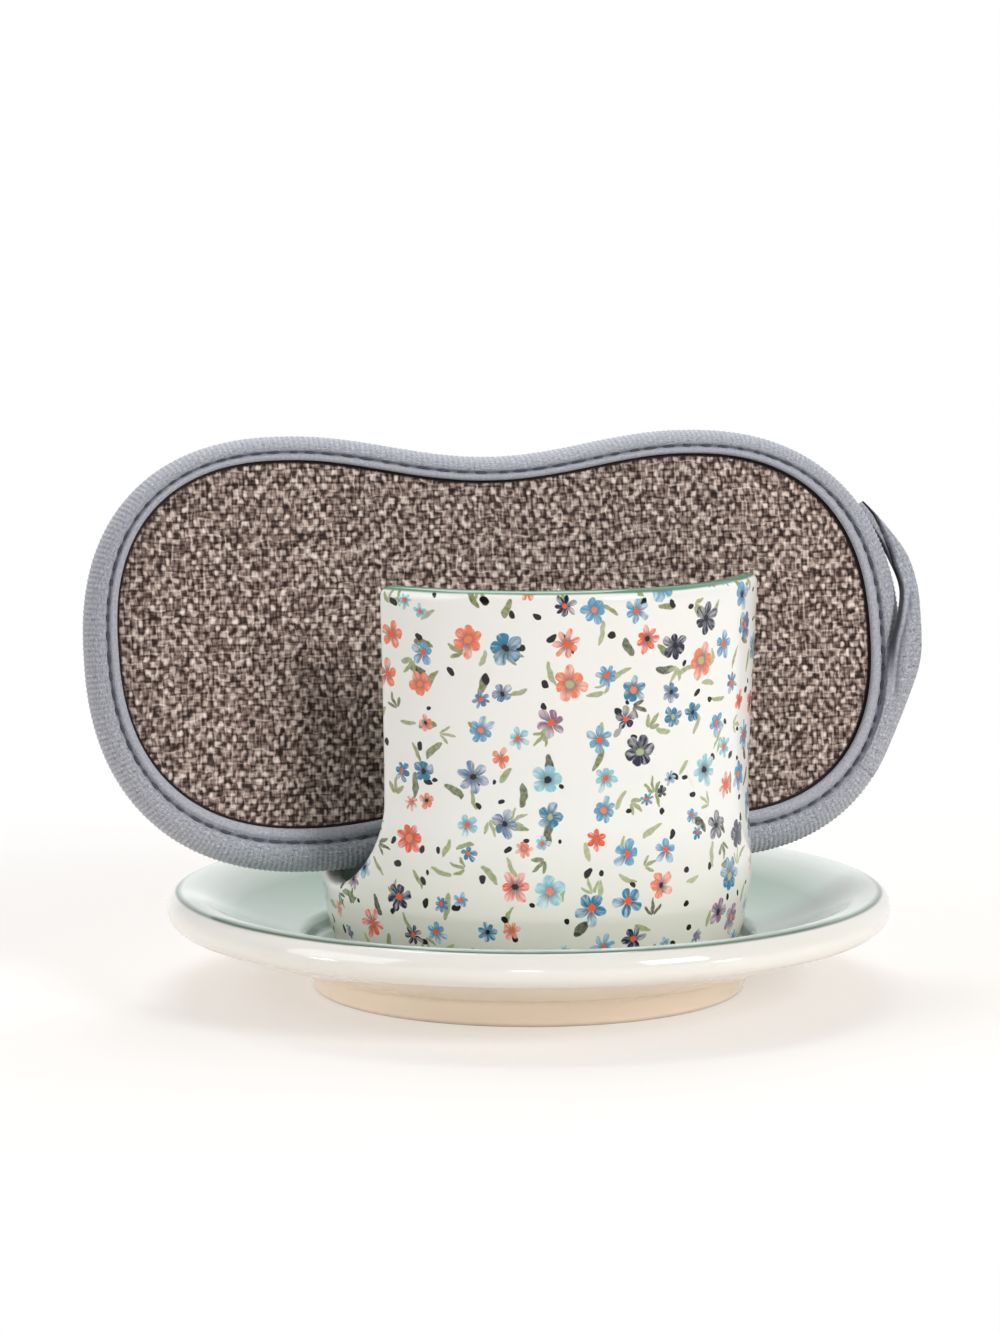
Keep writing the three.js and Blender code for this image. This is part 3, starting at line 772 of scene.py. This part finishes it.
def pad_outline_dense(count=8000):
    """Points of the outline from its right end, counter-clockwise, and their lengths."""
    t = (np.arange(count + 1) / count + 0.125) % 1 * 4
    quarter = np.floor(t).astype(int) % 4
    along = t - np.floor(t)
    side = np.where(quarter < 2, 1, -1)
    angle = (along - 0.5) * pi
    bow = 2 / LOBE_SQUARENESS
    lobe_x = LOBE_X + (PAD_LENGTH / 2 - LOBE_X) * signed_power(np.cos(angle), bow)
    waist_x = LOBE_X * (1 - 2 * along)
    waist_z = PAD_HEIGHT / 2 - WAIST_DIP * (1 + np.cos(pi * waist_x / LOBE_X)) / 2
    lobe = quarter % 2 == 0
    z = side * np.where(lobe, signed_power(np.sin(angle), bow) * PAD_HEIGHT / 2, waist_z)
    points = columns(side * np.where(lobe, lobe_x, waist_x) - PAD_SLUMP * z, z)
    return points, lengths_along(points)


outline_points, outline_lengths = pad_outline_dense()
OUTLINE_LENGTH = outline_lengths[-1]


def outline_at(lengths):
    """Points of the outline at these lengths along it, as (x, z)."""
    lengths = np.asarray(lengths) % OUTLINE_LENGTH
    return columns(*(np.interp(lengths, outline_lengths, axis) for axis in outline_points.T))


class Stations:
    """Places along the outline: points, outward directions and shares of the tape's lap."""

    def __init__(self, lengths):
        self.lengths = np.asarray(lengths, float)
        self.edge = outline_at(self.lengths)
        forward = outline_at(self.lengths + 1.5) - outline_at(self.lengths - 1.5)
        forward = forward / np.linalg.norm(forward, axis=-1, keepdims=True)
        self.out = columns(forward[:, 1], -forward[:, 0])
        self.lap = (TAPE_LAP - self.out @ TAPE_SHIFT) / TAPE_LAP

    def at(self, inset, depth):
        """Points inset from the outline, in step with the lap, and off the middle plane."""
        flat = self.edge - self.out * (np.asarray(inset) * self.lap)[:, None]
        return columns(flat[:, 0], depth, flat[:, 1])


def all_round(count):
    return Stations(np.arange(count) * OUTLINE_LENGTH / count)


def pad_place():
    """Matrix from the pad's own axes, in metres, to the frame."""
    offset = CUP_WALL_POINTS[1][0] * tan(PAD_SKEW)
    reach = SLOT_RADIUS - EDGE_HALF - SEAT_GAP
    edge_height = SLOT_CENTRE - sqrt(reach ** 2 - offset ** 2)
    slot_angle = asin((SLOT_RADIUS + SLOT_FLARE) / CUP_RIM_RADIUS)
    room = CUP_RIM_RADIUS * sin(slot_angle - PAD_SKEW) - PAD_THICKNESS / 2 - SEAT_GAP
    lean = atan2(room, CUP_TOP - edge_height)
    seat = Matrix.Translation(Vector((CUP_X, 0, edge_height)) * MM)
    turned = Matrix.Rotation(-PAD_SKEW, 4, "Z") @ Matrix.Rotation(-lean, 4, "X")
    return seat @ turned @ Matrix.Translation(Vector((-PAD_SHIFT, 0, PAD_HEIGHT / 2 - EDGE_HALF)) * MM)


PAD_PLACE = pad_place()


def face_rows(places, sunk, fullness):
    """Rows of one face, front side at -Y, from the covered edge to the line between the lobes."""
    rows = []
    first = TAPE_THICKNESS + LAYER_GAP
    for angle in np.radians([36, 48, 60, 75, 90]):
        inset = first + (ROUND_LAP - first) * (1 - cos(angle))
        rows.append(places.at(inset, sunk - COVERED_HALF * sin(angle)))
    edge = places.at(TAPE_LAP, 0.0)
    middle = columns(np.clip(edge[:, 0], -LOBE_X, LOBE_X), 0, 0)
    rise = (PAD_THICKNESS / 2 - COVERED_HALF) * fullness
    for share in np.linspace(0, 0.97, 34):
        points = edge + share * (middle - edge)
        points[:, 1] = sunk - (COVERED_HALF + rise * (1 - (1 - share) ** CROWN_POWER))
        rows.append(points)
    return np.array(rows)


def zipped(rows):
    """Points and faces through rings. The first stays open, the last is a slit and is closed."""
    count, width = rows.shape[:2]
    points, faces = skin(rows, False)
    base = (count - 1) * width
    faces = faces[:base]
    for n in range(width // 2):
        corners = (n, n + 1, (width - n - 1) % width, (width - n) % width)
        quad = [base + i for i in dict.fromkeys(corners)]
        if len(quad) > 2:
            faces.append(quad)
    return points[: count * width], faces


def applied(obj):
    """Replaces an object's mesh by what its modifiers make of it."""
    bpy.context.view_layer.update()
    made = bpy.data.meshes.new_from_object(obj.evaluated_get(bpy.context.evaluated_depsgraph_get()))
    obj.modifiers.clear()
    obj.data = made


SWELL_LIMIT = 2.2
SWELL_FRAMES = 20
SWELL_SETTINGS = {
    "quality": 6, "mass": 0.2, "tension_stiffness": 40, "compression_stiffness": 40, "bending_stiffness": 2,
    "use_pressure": True, "uniform_pressure_force": 5.0, "vertex_group_mass": "held",
}


def swell(obj, pinned):
    """Blows a sheet up as cloth held along its edge, and caps how far a point moves."""
    obj.vertex_groups.new(name="held").add(pinned, 1.0, "REPLACE")
    cloth = obj.modifiers.new("cloth", "CLOTH")
    for name, value in SWELL_SETTINGS.items():
        setattr(cloth.settings, name, value)
    cloth.settings.effector_weights.gravity = 0
    cloth.collision_settings.use_collision = False
    before = points_of(obj)
    for number in range(1, SWELL_FRAMES + 1):
        scene.frame_set(number)
    applied(obj)
    scene.frame_set(1)
    shift = points_of(obj) - before
    size = np.maximum(np.linalg.norm(shift, axis=1, keepdims=True), 1e-9)
    move_points(obj, before + shift * np.minimum(1, SWELL_LIMIT * MM / size))
    obj.vertex_groups.clear()


def mirrored(points, side):
    """Points for the front (side -1) or, turned over, for the rear (side 1)."""
    return points * (1, -side, 1)


def build_cloth(name, side, slot, node, seed):
    """One face of the pad: blown up as cloth, dented and given its thickness."""
    rows = mirrored(face_rows(all_round(CLOTH_SIDES), 0.0, CLOTH_FULLNESS), side)
    points, faces = zipped(rows)
    if side > 0:
        faces = [face[::-1] for face in faces]
    cloth = add_mesh(name, points, faces)
    covered = np.clip(COVERED_ROWS - np.arange(len(rows)), 0, 1)
    keep(cloth, covered=np.repeat(covered, CLOTH_SIDES))
    swell(cloth, list(range(HELD_ROWS * CLOTH_SIDES)))
    soft_undulation(cloth, side, seed)
    solid = cloth.modifiers.new("thickness", "SOLIDIFY")
    solid.thickness = CLOTH_THICKNESS * MM
    solid.offset = -1.0
    applied(cloth)
    keep(cloth, pad_place=points_of(cloth) / MM)
    finish_piece(cloth, "pad", slot, weave_material(slot, seed), node)


DENT_COUNT = 10
DENT_WAVE = 0.045
DENT_DEPTH = 0.05


def soft_undulation(obj, side, seed):
    """Low dents and rises of a used pad."""
    random = np.random.default_rng(seed)
    points = points_of(obj)
    x, y, z = points.T / MM
    lift = np.zeros(len(points))
    for _ in range(DENT_COUNT):
        wave = random.normal(0, DENT_WAVE, 2)
        lift += np.sin(x * wave[0] + z * wave[1] + random.uniform(0, 6.28)) * DENT_DEPTH
    fade = smoothstep(np.abs(y), COVERED_HALF, COVERED_HALF + 2)
    points[:, 1] += side * lift * fade * MM
    move_points(obj, points)


YARN_PITCH = (1.3, 1.5)
# Tones by height: the darkest are painted shade in the gaps between yarns
YARN_AND_GAP_SHADE_TONES = [
    (0.0, colour(26, 15, 12)), (0.2, colour(74, 56, 49)), (0.42, colour(142, 123, 114)),
    (0.66, colour(200, 182, 172)), (1.0, colour(246, 232, 224)),
]
# Painted shadow along the cloth's edge under the tape's bead
EDGE_SHADOW_DARK = colour(38, 28, 30)


def weave_material(name, seed):
    """Coarse weave of uneven slub yarns: pale puffs, thin threads and dark gaps. The colour follows the
    height, so the gaps carry painted shade and the raised puffs painted light, over the yarns' own uneven
    tone.
    """
    board = Board(name + "_nodes")
    x, _, z = board.split(board.attribute("pad_place", "Vector"))
    x = x + seed * 40.0
    place = board.vector(x, z)
    slow_x, slow_z = board.drift(place, 0.09)
    quick_x, quick_z = board.drift(place, 0.5)
    u = (x + slow_x * 2.5 + quick_x * 1.2) / YARN_PITCH[0]
    v = (z + slow_z * 2.5 + quick_z * 1.2) / YARN_PITCH[1]
    checker = (u * pi).cos() * (v * pi).cos()
    raised = checker.step(-0.02, 0.02)
    fate = board.chance(board.vector((u + 0.5).floor(), (v + 0.5).floor())) * 0.85 + 0.15
    across = (u + 0.5).wrap(1.0) - 0.5
    up = (v + 0.5).wrap(1.0) - 0.5
    disc = (across * across + up * up).root().step(0.62, 0.12)
    puff = disc * fate * (raised * 0.66 - 0.18)
    rising = board.grain(x * 0.75, z * 0.3, 5.0).step(0.46, 0.62)
    lying = board.grain(x * 0.3, z * 0.75, 7.0).step(0.52, 0.68)
    threads = ((u.wrap(1.0) - 0.5).abs().step(0.22, 0.04) * (rising * 0.38 - 0.13)
               + (v.wrap(1.0) - 0.5).abs().step(0.22, 0.04) * (lying * 0.38 - 0.13))
    blob = board.noise(place, 0.5, 1.0) * 0.6
    upright = board.grain(x * 1.5, z * 0.45, 3.0) * 0.68
    level = board.grain(x * 0.45, z * 1.5, 9.0) * 0.46
    fuzz = board.noise(place, 2.4, 2.0) - 0.5
    value = puff + threads + blob + upright + level + fuzz * 0.26 - 0.5
    # Low places get dark tones: painted shade in the gaps, over the yarns' own uneven tone
    base = board.ramp(value, YARN_AND_GAP_SHADE_TONES)
    # Painted shadow where the cloth dips under the tape, frayed by the fuzz
    seam = board.attribute("covered") * 1.25 + fuzz * 0.9
    base = board.mix(seam.step(0.3, 0.75), base, EDGE_SHADOW_DARK)
    return board.finish(base, 0.92, board.bump(value, 0.5, 0.4), Sheen_Weight=0.08)


def tape_section():
    """Closed section of the folded tape as (inset, depth, rib share) points."""
    inner_half = EDGE_HALF - TAPE_THICKNESS
    turn = np.linspace(0, pi / 2, 10)
    edge = columns(ROUND_LAP * (1 - np.cos(turn)), EDGE_HALF * np.sin(turn), 0.15 + 0.85 * np.cos(turn))
    share = np.linspace(0.15, 0.85, 5)
    dip = TAPE_GROOVE_DEPTH * np.sin(pi * share)
    groove = columns(ROUND_LAP + TAPE_GROOVE_WIDTH * share, EDGE_HALF - dip, 0.0)
    turn = np.linspace(0, pi, 7)
    inset = ROUND_LAP + TAPE_GROOVE_WIDTH + TAPE_BEAD_WIDTH * (1 - np.cos(turn)) / 2
    bead = columns(inset, EDGE_HALF - 0.25 + (TAPE_BEAD_RISE + 0.25) * np.sin(turn), 0.25)
    hem = [(TAPE_LAP, inner_half + 0.4, 0.0), (TAPE_LAP - 0.3, inner_half, 0.0)]
    half = np.concatenate([edge, groove, bead, hem])
    turn = np.linspace(pi / 2, 0, 6)
    inset = TAPE_THICKNESS + (ROUND_LAP - TAPE_THICKNESS) * (1 - np.cos(turn))
    inner = columns(inset, inner_half * np.sin(turn), 0.0)
    front_half = mirrored(half, 1)[::-1]
    return np.concatenate([front_half, half[1:], inner, mirrored(inner, 1)[-2::-1]])


def build_binding():
    ribs = round(OUTLINE_LENGTH / TAPE_RIB_PITCH)
    places = all_round(ribs * RIB_STEPS)
    count = len(places.lengths)
    phase = np.cos(2 * pi * ribs * places.lengths / OUTLINE_LENGTH)
    section = tape_section()
    lines = []
    for inset, depth, rib in section:
        rise = TAPE_RIB_RISE * rib * phase
        sideways = abs(depth) < EDGE_HALF * 0.9
        lines.append(places.at(inset - rise * sideways, depth * (1 + rise / EDGE_HALF)))
    tape = add_mesh("edge_tape", *skin(np.stack(lines, axis=1), True))
    across = lengths_along(section[:, :2])
    length = np.repeat(places.lengths, len(section))
    into = (section[:, 0] - ROUND_LAP) / TAPE_GROOVE_WIDTH
    # Rib phase, which the material paints lighter on the crests: painted light
    rib = np.outer(phase, section[:, 2]).ravel()
    # Marks for the painted highlight on the bead and the painted shade in the stitch groove
    bead = np.tile((into > 1.0) * 1.0, count)
    groove = np.tile(np.clip(1.5 - 4.5 * np.abs(into - 0.5), 0, 1), count)
    place = columns(length, np.tile(across, count), 0.0)
    keep(tape, tape_place=place, rib=rib, bead=bead, fold=0 * length, groove=groove)
    finish_piece(tape, "pad", "edge_tape", tape_material("edge_tape_nodes"), "edge_binding")


TAPE_TONES = [
    (0.2, colour(92, 94, 104)), (0.42, colour(156, 158, 168)), (0.58, colour(180, 182, 190)),
    (0.82, colour(232, 233, 237)),
]
# Painted highlight on the bead, and painted shade in the stitch groove and in folds
BEAD_HIGHLIGHT_GREY = colour(192, 194, 204)
GROOVE_SHADE_GREY = colour(84, 86, 98)
FOLD_SHADE_GREY = colour(56, 57, 65)


def tape_material(name):
    """Brushed melange tape: lighter and darker flecks, faint ribs painted lighter on their crests, a
    painted highlight on the bead, and painted shade in the stitch groove and the loop's fold.
    """
    board = Board(name)
    along, across, _ = board.split(board.attribute("tape_place", "Vector"))
    rib = board.attribute("rib")
    streak = board.grain(along * 0.9, across * 1.9, 0.0, 2.0)
    fleck = board.grain(along * 3.1, across * 3.4, 0.0, 2.0)
    # The ribs' crests are painted lighter: painted light
    value = streak * 0.56 + fleck * 0.8 - 0.18 + rib * 0.1
    base = board.ramp(value, TAPE_TONES)
    # Painted highlight on the bead, then painted shade in the groove and the fold
    base = board.mix(board.attribute("bead") * 0.4, base, BEAD_HIGHLIGHT_GREY)
    base = board.mix(board.attribute("groove") * (fleck * 0.8 + 0.35).smaller(1.0), base, GROOVE_SHADE_GREY)
    base = board.mix(board.attribute("fold"), base, FOLD_SHADE_GREY)
    height = fleck * 0.7 + streak * 0.3
    normal = board.bump(height, 0.3, 0.6)
    return board.finish(base, 0.95, normal, Sheen_Weight=0.35, Sheen_Roughness=0.45)


def stitch_rows(start, end, side):
    """Rings of one stitch: a short strand that dips in at both ends."""
    shares = np.linspace(0, 1, 7)
    places = Stations(start + shares * (end - start))
    inset = ROUND_LAP + TAPE_GROOVE_WIDTH / 2
    thin = STITCH_RADIUS * (1 - 0.55 * np.abs(2 * shares - 1) ** 3)
    sunk = EDGE_HALF - TAPE_GROOVE_DEPTH + STITCH_RADIUS - 0.5 * (2 * shares - 1) ** 4
    lines = []
    for angle in full_turn(STITCH_SIDES):
        points = places.at(inset, side * (sunk + thin * sin(angle)))
        points[:, [0, 2]] += places.out * (thin * cos(angle))[:, None]
        lines.append(points)
    return np.stack(lines, axis=1)


def build_stitches(name, side, node, seed):
    """Hand-fed machine stitches of uneven length."""
    random = np.random.default_rng(seed)
    count = round(OUTLINE_LENGTH / STITCH_PITCH)
    points, faces, total = [], [], 0
    for start in np.arange(count) * OUTLINE_LENGTH / count:
        begin = start + random.uniform(0, 0.2) * STITCH_PITCH
        end = start + random.uniform(0.55, 0.95) * STITCH_PITCH
        some, polygons = skin(stitch_rows(begin, end, side), False)
        points.append(some)
        faces += [[total + i for i in face] for face in polygons]
        total += len(some)
    stitches = add_mesh(name, np.vstack(points), faces)
    finish_piece(stitches, "pad", "sewing_thread", thread_material(name), node)


def thread_material(name):
    """Twisted thread: slanted plies, painted lighter on their crests in step with their bump."""
    board = Board(name + "_nodes")
    place = board.object_place()
    x, _, z = board.split(place)
    ply = ((x + z) * (2 * pi / (0.45 * MM))).sin()
    fuzz = board.noise(place, 2600.0)
    tones = [(0.2, colour(54, 56, 67)), (0.8, colour(108, 111, 124))]
    # The plies' stripes in colour follow the bump: painted light
    base = board.ramp(ply * 0.2 + fuzz * 0.6 + 0.2, tones)
    return board.finish(base, 0.8, board.bump(ply, 0.08, 0.7))


def loop_line(course, share, places, across, lift):
    """A line along the loop at shares across it and of its thickness, 1 at the front, and its shades."""
    inner, outer, depth, thickness = (course * (LOOP_REACH, LOOP_REACH, 1, LOOP_THICKNESS)).T
    wide = (outer - inner) * across
    unrolled = smoothstep(share, *LOOP_UNROLL)
    gap = LAYER_GAP * (0.15 + 0.85 * unrolled)
    front = smoothstep(lift, 0.5, 0.8)
    fold = np.interp(share, *np.array(LOOP_FOLD).T)
    # The crease is dented into the shape and painted dark: painted shade
    crease = np.exp(-((across - fold) / 0.1) ** 2) * smoothstep(share, 0.62, 0.74) * front
    sewn = smoothstep(share, 0.24, 0.36) * (1 - smoothstep(share, 0.62, 0.72))
    seam = np.exp(-((wide - LOOP_SEAM_INSET) / LOOP_SEAM_WIDTH) ** 2) * sewn * front
    height = lift - 0.6 * crease - 0.15 * seam
    angle = pi / 2 * (1 - LOOP_WRAP_SHARE * across)
    lap = ROUND_LAP * places.lap
    off = gap + height * thickness
    out = (lap + off) * cos(angle) - lap
    out = out + (inner + wide - out) * unrolled
    middle = (EDGE_HALF + gap + thickness / 2) * depth
    back = -(EDGE_HALF + off) * sin(angle)
    back = back + (middle + thickness * (0.5 - height) - back) * unrolled
    flat = places.edge + places.out * out[:, None]
    # Painted shade on the loop's inner side, beside the binding
    inside = smoothstep(across, 0.26, 0.1) * smoothstep(share, 0.3, 0.5)
    shades = (
        np.full(len(share), across * LOOP_REACH + lift), np.maximum(crease, inside), seam,
        smoothstep(wide, LOOP_SEAM_INSET, 1.6) * sewn,
    )
    return columns(flat[:, 0], back, flat[:, 1]), shades


def build_loop():
    """Tape tail that unrolls from the edge's front, passes outside and goes behind it."""
    course = spline(LOOP_COURSE, LOOP_STEPS)
    share = np.linspace(0, 1, len(course))
    heights = share * (LOOP_TOP + LOOP_BOTTOM) - LOOP_BOTTOM
    right_end = np.linspace(-OUTLINE_LENGTH / 8, OUTLINE_LENGTH / 8, 2000)
    places = Stations(np.interp(heights, outline_at(right_end)[:, 1], right_end))
    turns = full_turn(LOOP_SIDES)
    section = columns(1 - signed_power(np.cos(turns), 0.6), 1 + signed_power(np.sin(turns), 0.6)) / 2
    lines = [loop_line(course, share, places, *spot) for spot in section]
    loop = add_mesh("loop_tape", *skin(np.stack([line for line, _ in lines], axis=1), False))

    def per_point(values):
        values = np.stack(values, axis=1)
        return np.concatenate([values.ravel(), values.mean(axis=1)[[0, -1]]])

    length = per_point([places.lengths] * len(lines))
    # fold and groove carry painted shade, bead a painted highlight
    turned, fold, groove, bead = (per_point(values) for values in zip(*(shades for _, shades in lines)))
    # Ribs painted as lighter and darker stripes: painted light, as the loop's shape has none
    rib = np.cos(2 * pi * length / TAPE_RIB_PITCH) * 0.4
    keep(loop, tape_place=columns(length, turned, 0.0), rib=rib, fold=fold, groove=groove, bead=bead)
    finish_piece(loop, "pad", "loop_tape", tape_material("loop_tape_nodes"), "hanging_loop")


def build_foam():
    front = face_rows(all_round(FOAM_SIDES), CLOTH_THICKNESS + LAYER_GAP, FOAM_FULLNESS)
    points = np.concatenate([front[::-1], mirrored(front, 1)])
    foam = add_mesh("foam_slab", *skin(points, False))
    board = Board("foam_nodes")
    pores = board.output("TexVoronoi", {"Vector": board.object_place(), "Scale": 900.0}, "Distance")
    # Darker in each pore: painted shade in the pores' dents
    base = board.ramp(pores, [(0.0, colour(176, 158, 98)), (0.5, colour(222, 207, 150))])
    finish_piece(foam, "pad", "foam", board.finish(base, 0.95, board.bump(pores, 0.4)), "foam_core")


# Stage, lights and camera

FLOOR_TONE = colour(252, 245, 238)
FAR_FLOOR_TONE = colour(140, 136, 132)
SHADOW_TONE = (0.44, 0.455, 0.47, 1.0)
GLOW_TONE = (0.51, 0.465, 0.425, 1.0)
FLOOR_HALF = 1200
# Reach in metres over which the floor's bounce dims, and over which it fades to white
FLOOR_DIM = (0.11, 0.2)
FLOOR_FADE = (0.13, 0.3)


def floor_material():
    """A faint warm shadow that fades to white for camera and mirrors, and else a pale floor."""
    board = Board("floor_nodes")
    x, y, _ = board.split(board.object_place())
    reach = (x * x + y * y).root()
    board.finish(board.mix(reach.step(*FLOOR_DIM), FLOOR_TONE, FAR_FLOOR_TONE), 0.9, Specular_IOR_Level=0.0)
    plain = Wire(board, board.tree.nodes["Principled BSDF"].outputs[0])
    camera, mirror = board.wires(board.node("LightPath", {}), "Is Camera Ray", "Is Glossy Ray")
    shaded = board.output("BsdfDiffuse", {"Color": SHADOW_TONE})
    glow = board.output("Emission", {"Color": GLOW_TONE, "Strength": 1.0})
    white = board.output("Emission", {"Strength": 1.0})
    lit = board.output("AddShader", {0: shaded, 1: glow})
    seen = board.output("MixShader", {0: reach.step(*FLOOR_FADE), 1: lit, 2: white})
    surface = board.output("MixShader", {0: camera.larger(mirror), 1: plain, 2: seen})
    board.plug(board.tree.nodes["Material Output"].inputs["Surface"], surface)
    return board.owner


def build_floor():
    corners = [(x * FLOOR_HALF, y * FLOOR_HALF, 0) for x, y in ((-1, -1), (1, -1), (1, 1), (-1, 1))]
    floor = add_mesh("floor", corners, [[0, 1, 2, 3]])
    floor.data.materials.append(floor_material())


BACKDROP = 0.95
ROOM = 0.17
# Shares of a direction along Y where the room ends and the backdrop begins
ROOM_END = -0.3
BACKDROP_START = 0.6


def build_world():
    """White to the camera, and soft light from a bright backdrop and a dimmer room."""
    scene.world = bpy.data.worlds.new("studio")
    board = Board("studio", scene.world)
    _, ahead, _ = board.split(board.output("TexCoord", {}, "Generated"))
    light = ahead.step(ROOM_END, BACKDROP_START) * (BACKDROP - ROOM) + ROOM
    seen = board.output("LightPath", {}, "Is Camera Ray")
    background = board.tree.nodes["Background"]
    board.plug(background.inputs["Color"], (1, 1, 1, 1))
    board.plug(background.inputs["Strength"], seen.larger(light))


# Lamps: name, place and width in metres, and power in watts
LAMPS = (
    ("top_lamp", (0.1, 0.55, 1.15), 0.7, 6.6),
    ("key_lamp", (0.57, -1.04, 0.58), 0.42, 11.0),
    ("side_lamp", (-1.15, -0.2, 0.5), 0.8, 5.8),
)
LAMP_TARGET = (0, 0, 0.05)
# Low strips for the foot and the lip's underside: turns in degrees, sizes in metres
STRIP_TURNS = (-85, -20, 45)
STRIP_AWAY = 0.5
STRIP_HEIGHT = 0.014
STRIP_TARGET = (0, 0, -0.002)
STRIP_SIZE = (0.5, 0.024)
STRIP_POWER = 0.009
STRIP_SPREAD = 12


def add_softbox(name, place, target, size, power, spread=180):
    """Soft lamp, with places and sizes in metres and its spread in degrees."""
    light = bpy.data.lights.new(name, "AREA")
    light.shape = "RECTANGLE"
    light.size, light.size_y = size
    light.energy = power
    light.spread = radians(spread)
    lamp = new_object(name, light)
    lamp.location = place
    lamp.rotation_euler = (Vector(target) - Vector(place)).to_track_quat("-Z", "Y").to_euler()


def build_lights():
    for name, place, width, power in LAMPS:
        add_softbox(name, place, LAMP_TARGET, (width, width), power)
    for turn in STRIP_TURNS:
        angle = radians(turn)
        place = (sin(angle) * STRIP_AWAY, -cos(angle) * STRIP_AWAY, STRIP_HEIGHT)
        add_softbox(f"low_lamp_{turn}", place, STRIP_TARGET, STRIP_SIZE, STRIP_POWER, STRIP_SPREAD)


# Camera, fitted to the photograph: pixels, and its turns and place about the axis
IMAGE_HEIGHT = 1333
FOCAL_PIXELS = 4500.0
SENSOR_WIDTH = 36.0
CAMERA_TURN = radians(-18.5)
CAMERA_PITCH = radians(7.36)
CAMERA_ASIDE = -6.32
CAMERA_BACK = 977.0
CAMERA_HEIGHT = 196.7


def build_camera():
    data = bpy.data.cameras.new("camera")
    data.sensor_width = SENSOR_WIDTH
    data.lens = SENSOR_WIDTH * FOCAL_PIXELS / IMAGE_HEIGHT
    data.clip_start = 0.01
    camera = new_object("camera", data)
    away = Matrix.Rotation(CAMERA_TURN, 3, "Z") @ Vector((CAMERA_ASIDE, -CAMERA_BACK, CAMERA_HEIGHT))
    camera.location = (Vector((AXIS_X, 0, 0)) + away) * MM
    camera.rotation_euler = (pi / 2 - CAMERA_PITCH, 0, CAMERA_TURN)
    scene.camera = camera


build_camera()
build_world()
build_lights()
build_floor()
build_saucer()
build_cup()
build_foam()
build_cloth("cloth_front", -1, "scrub_cloth", "front_cloth", 3)
build_cloth("cloth_rear", 1, "rear_cloth", "rear_cloth", 8)
build_binding()
build_stitches("stitches_front", -1, "front_seam_thread", 5)
build_stitches("stitches_rear", 1, "rear_seam_thread", 6)
build_loop()

bpy.context.scene.view_settings.view_transform = "Standard"
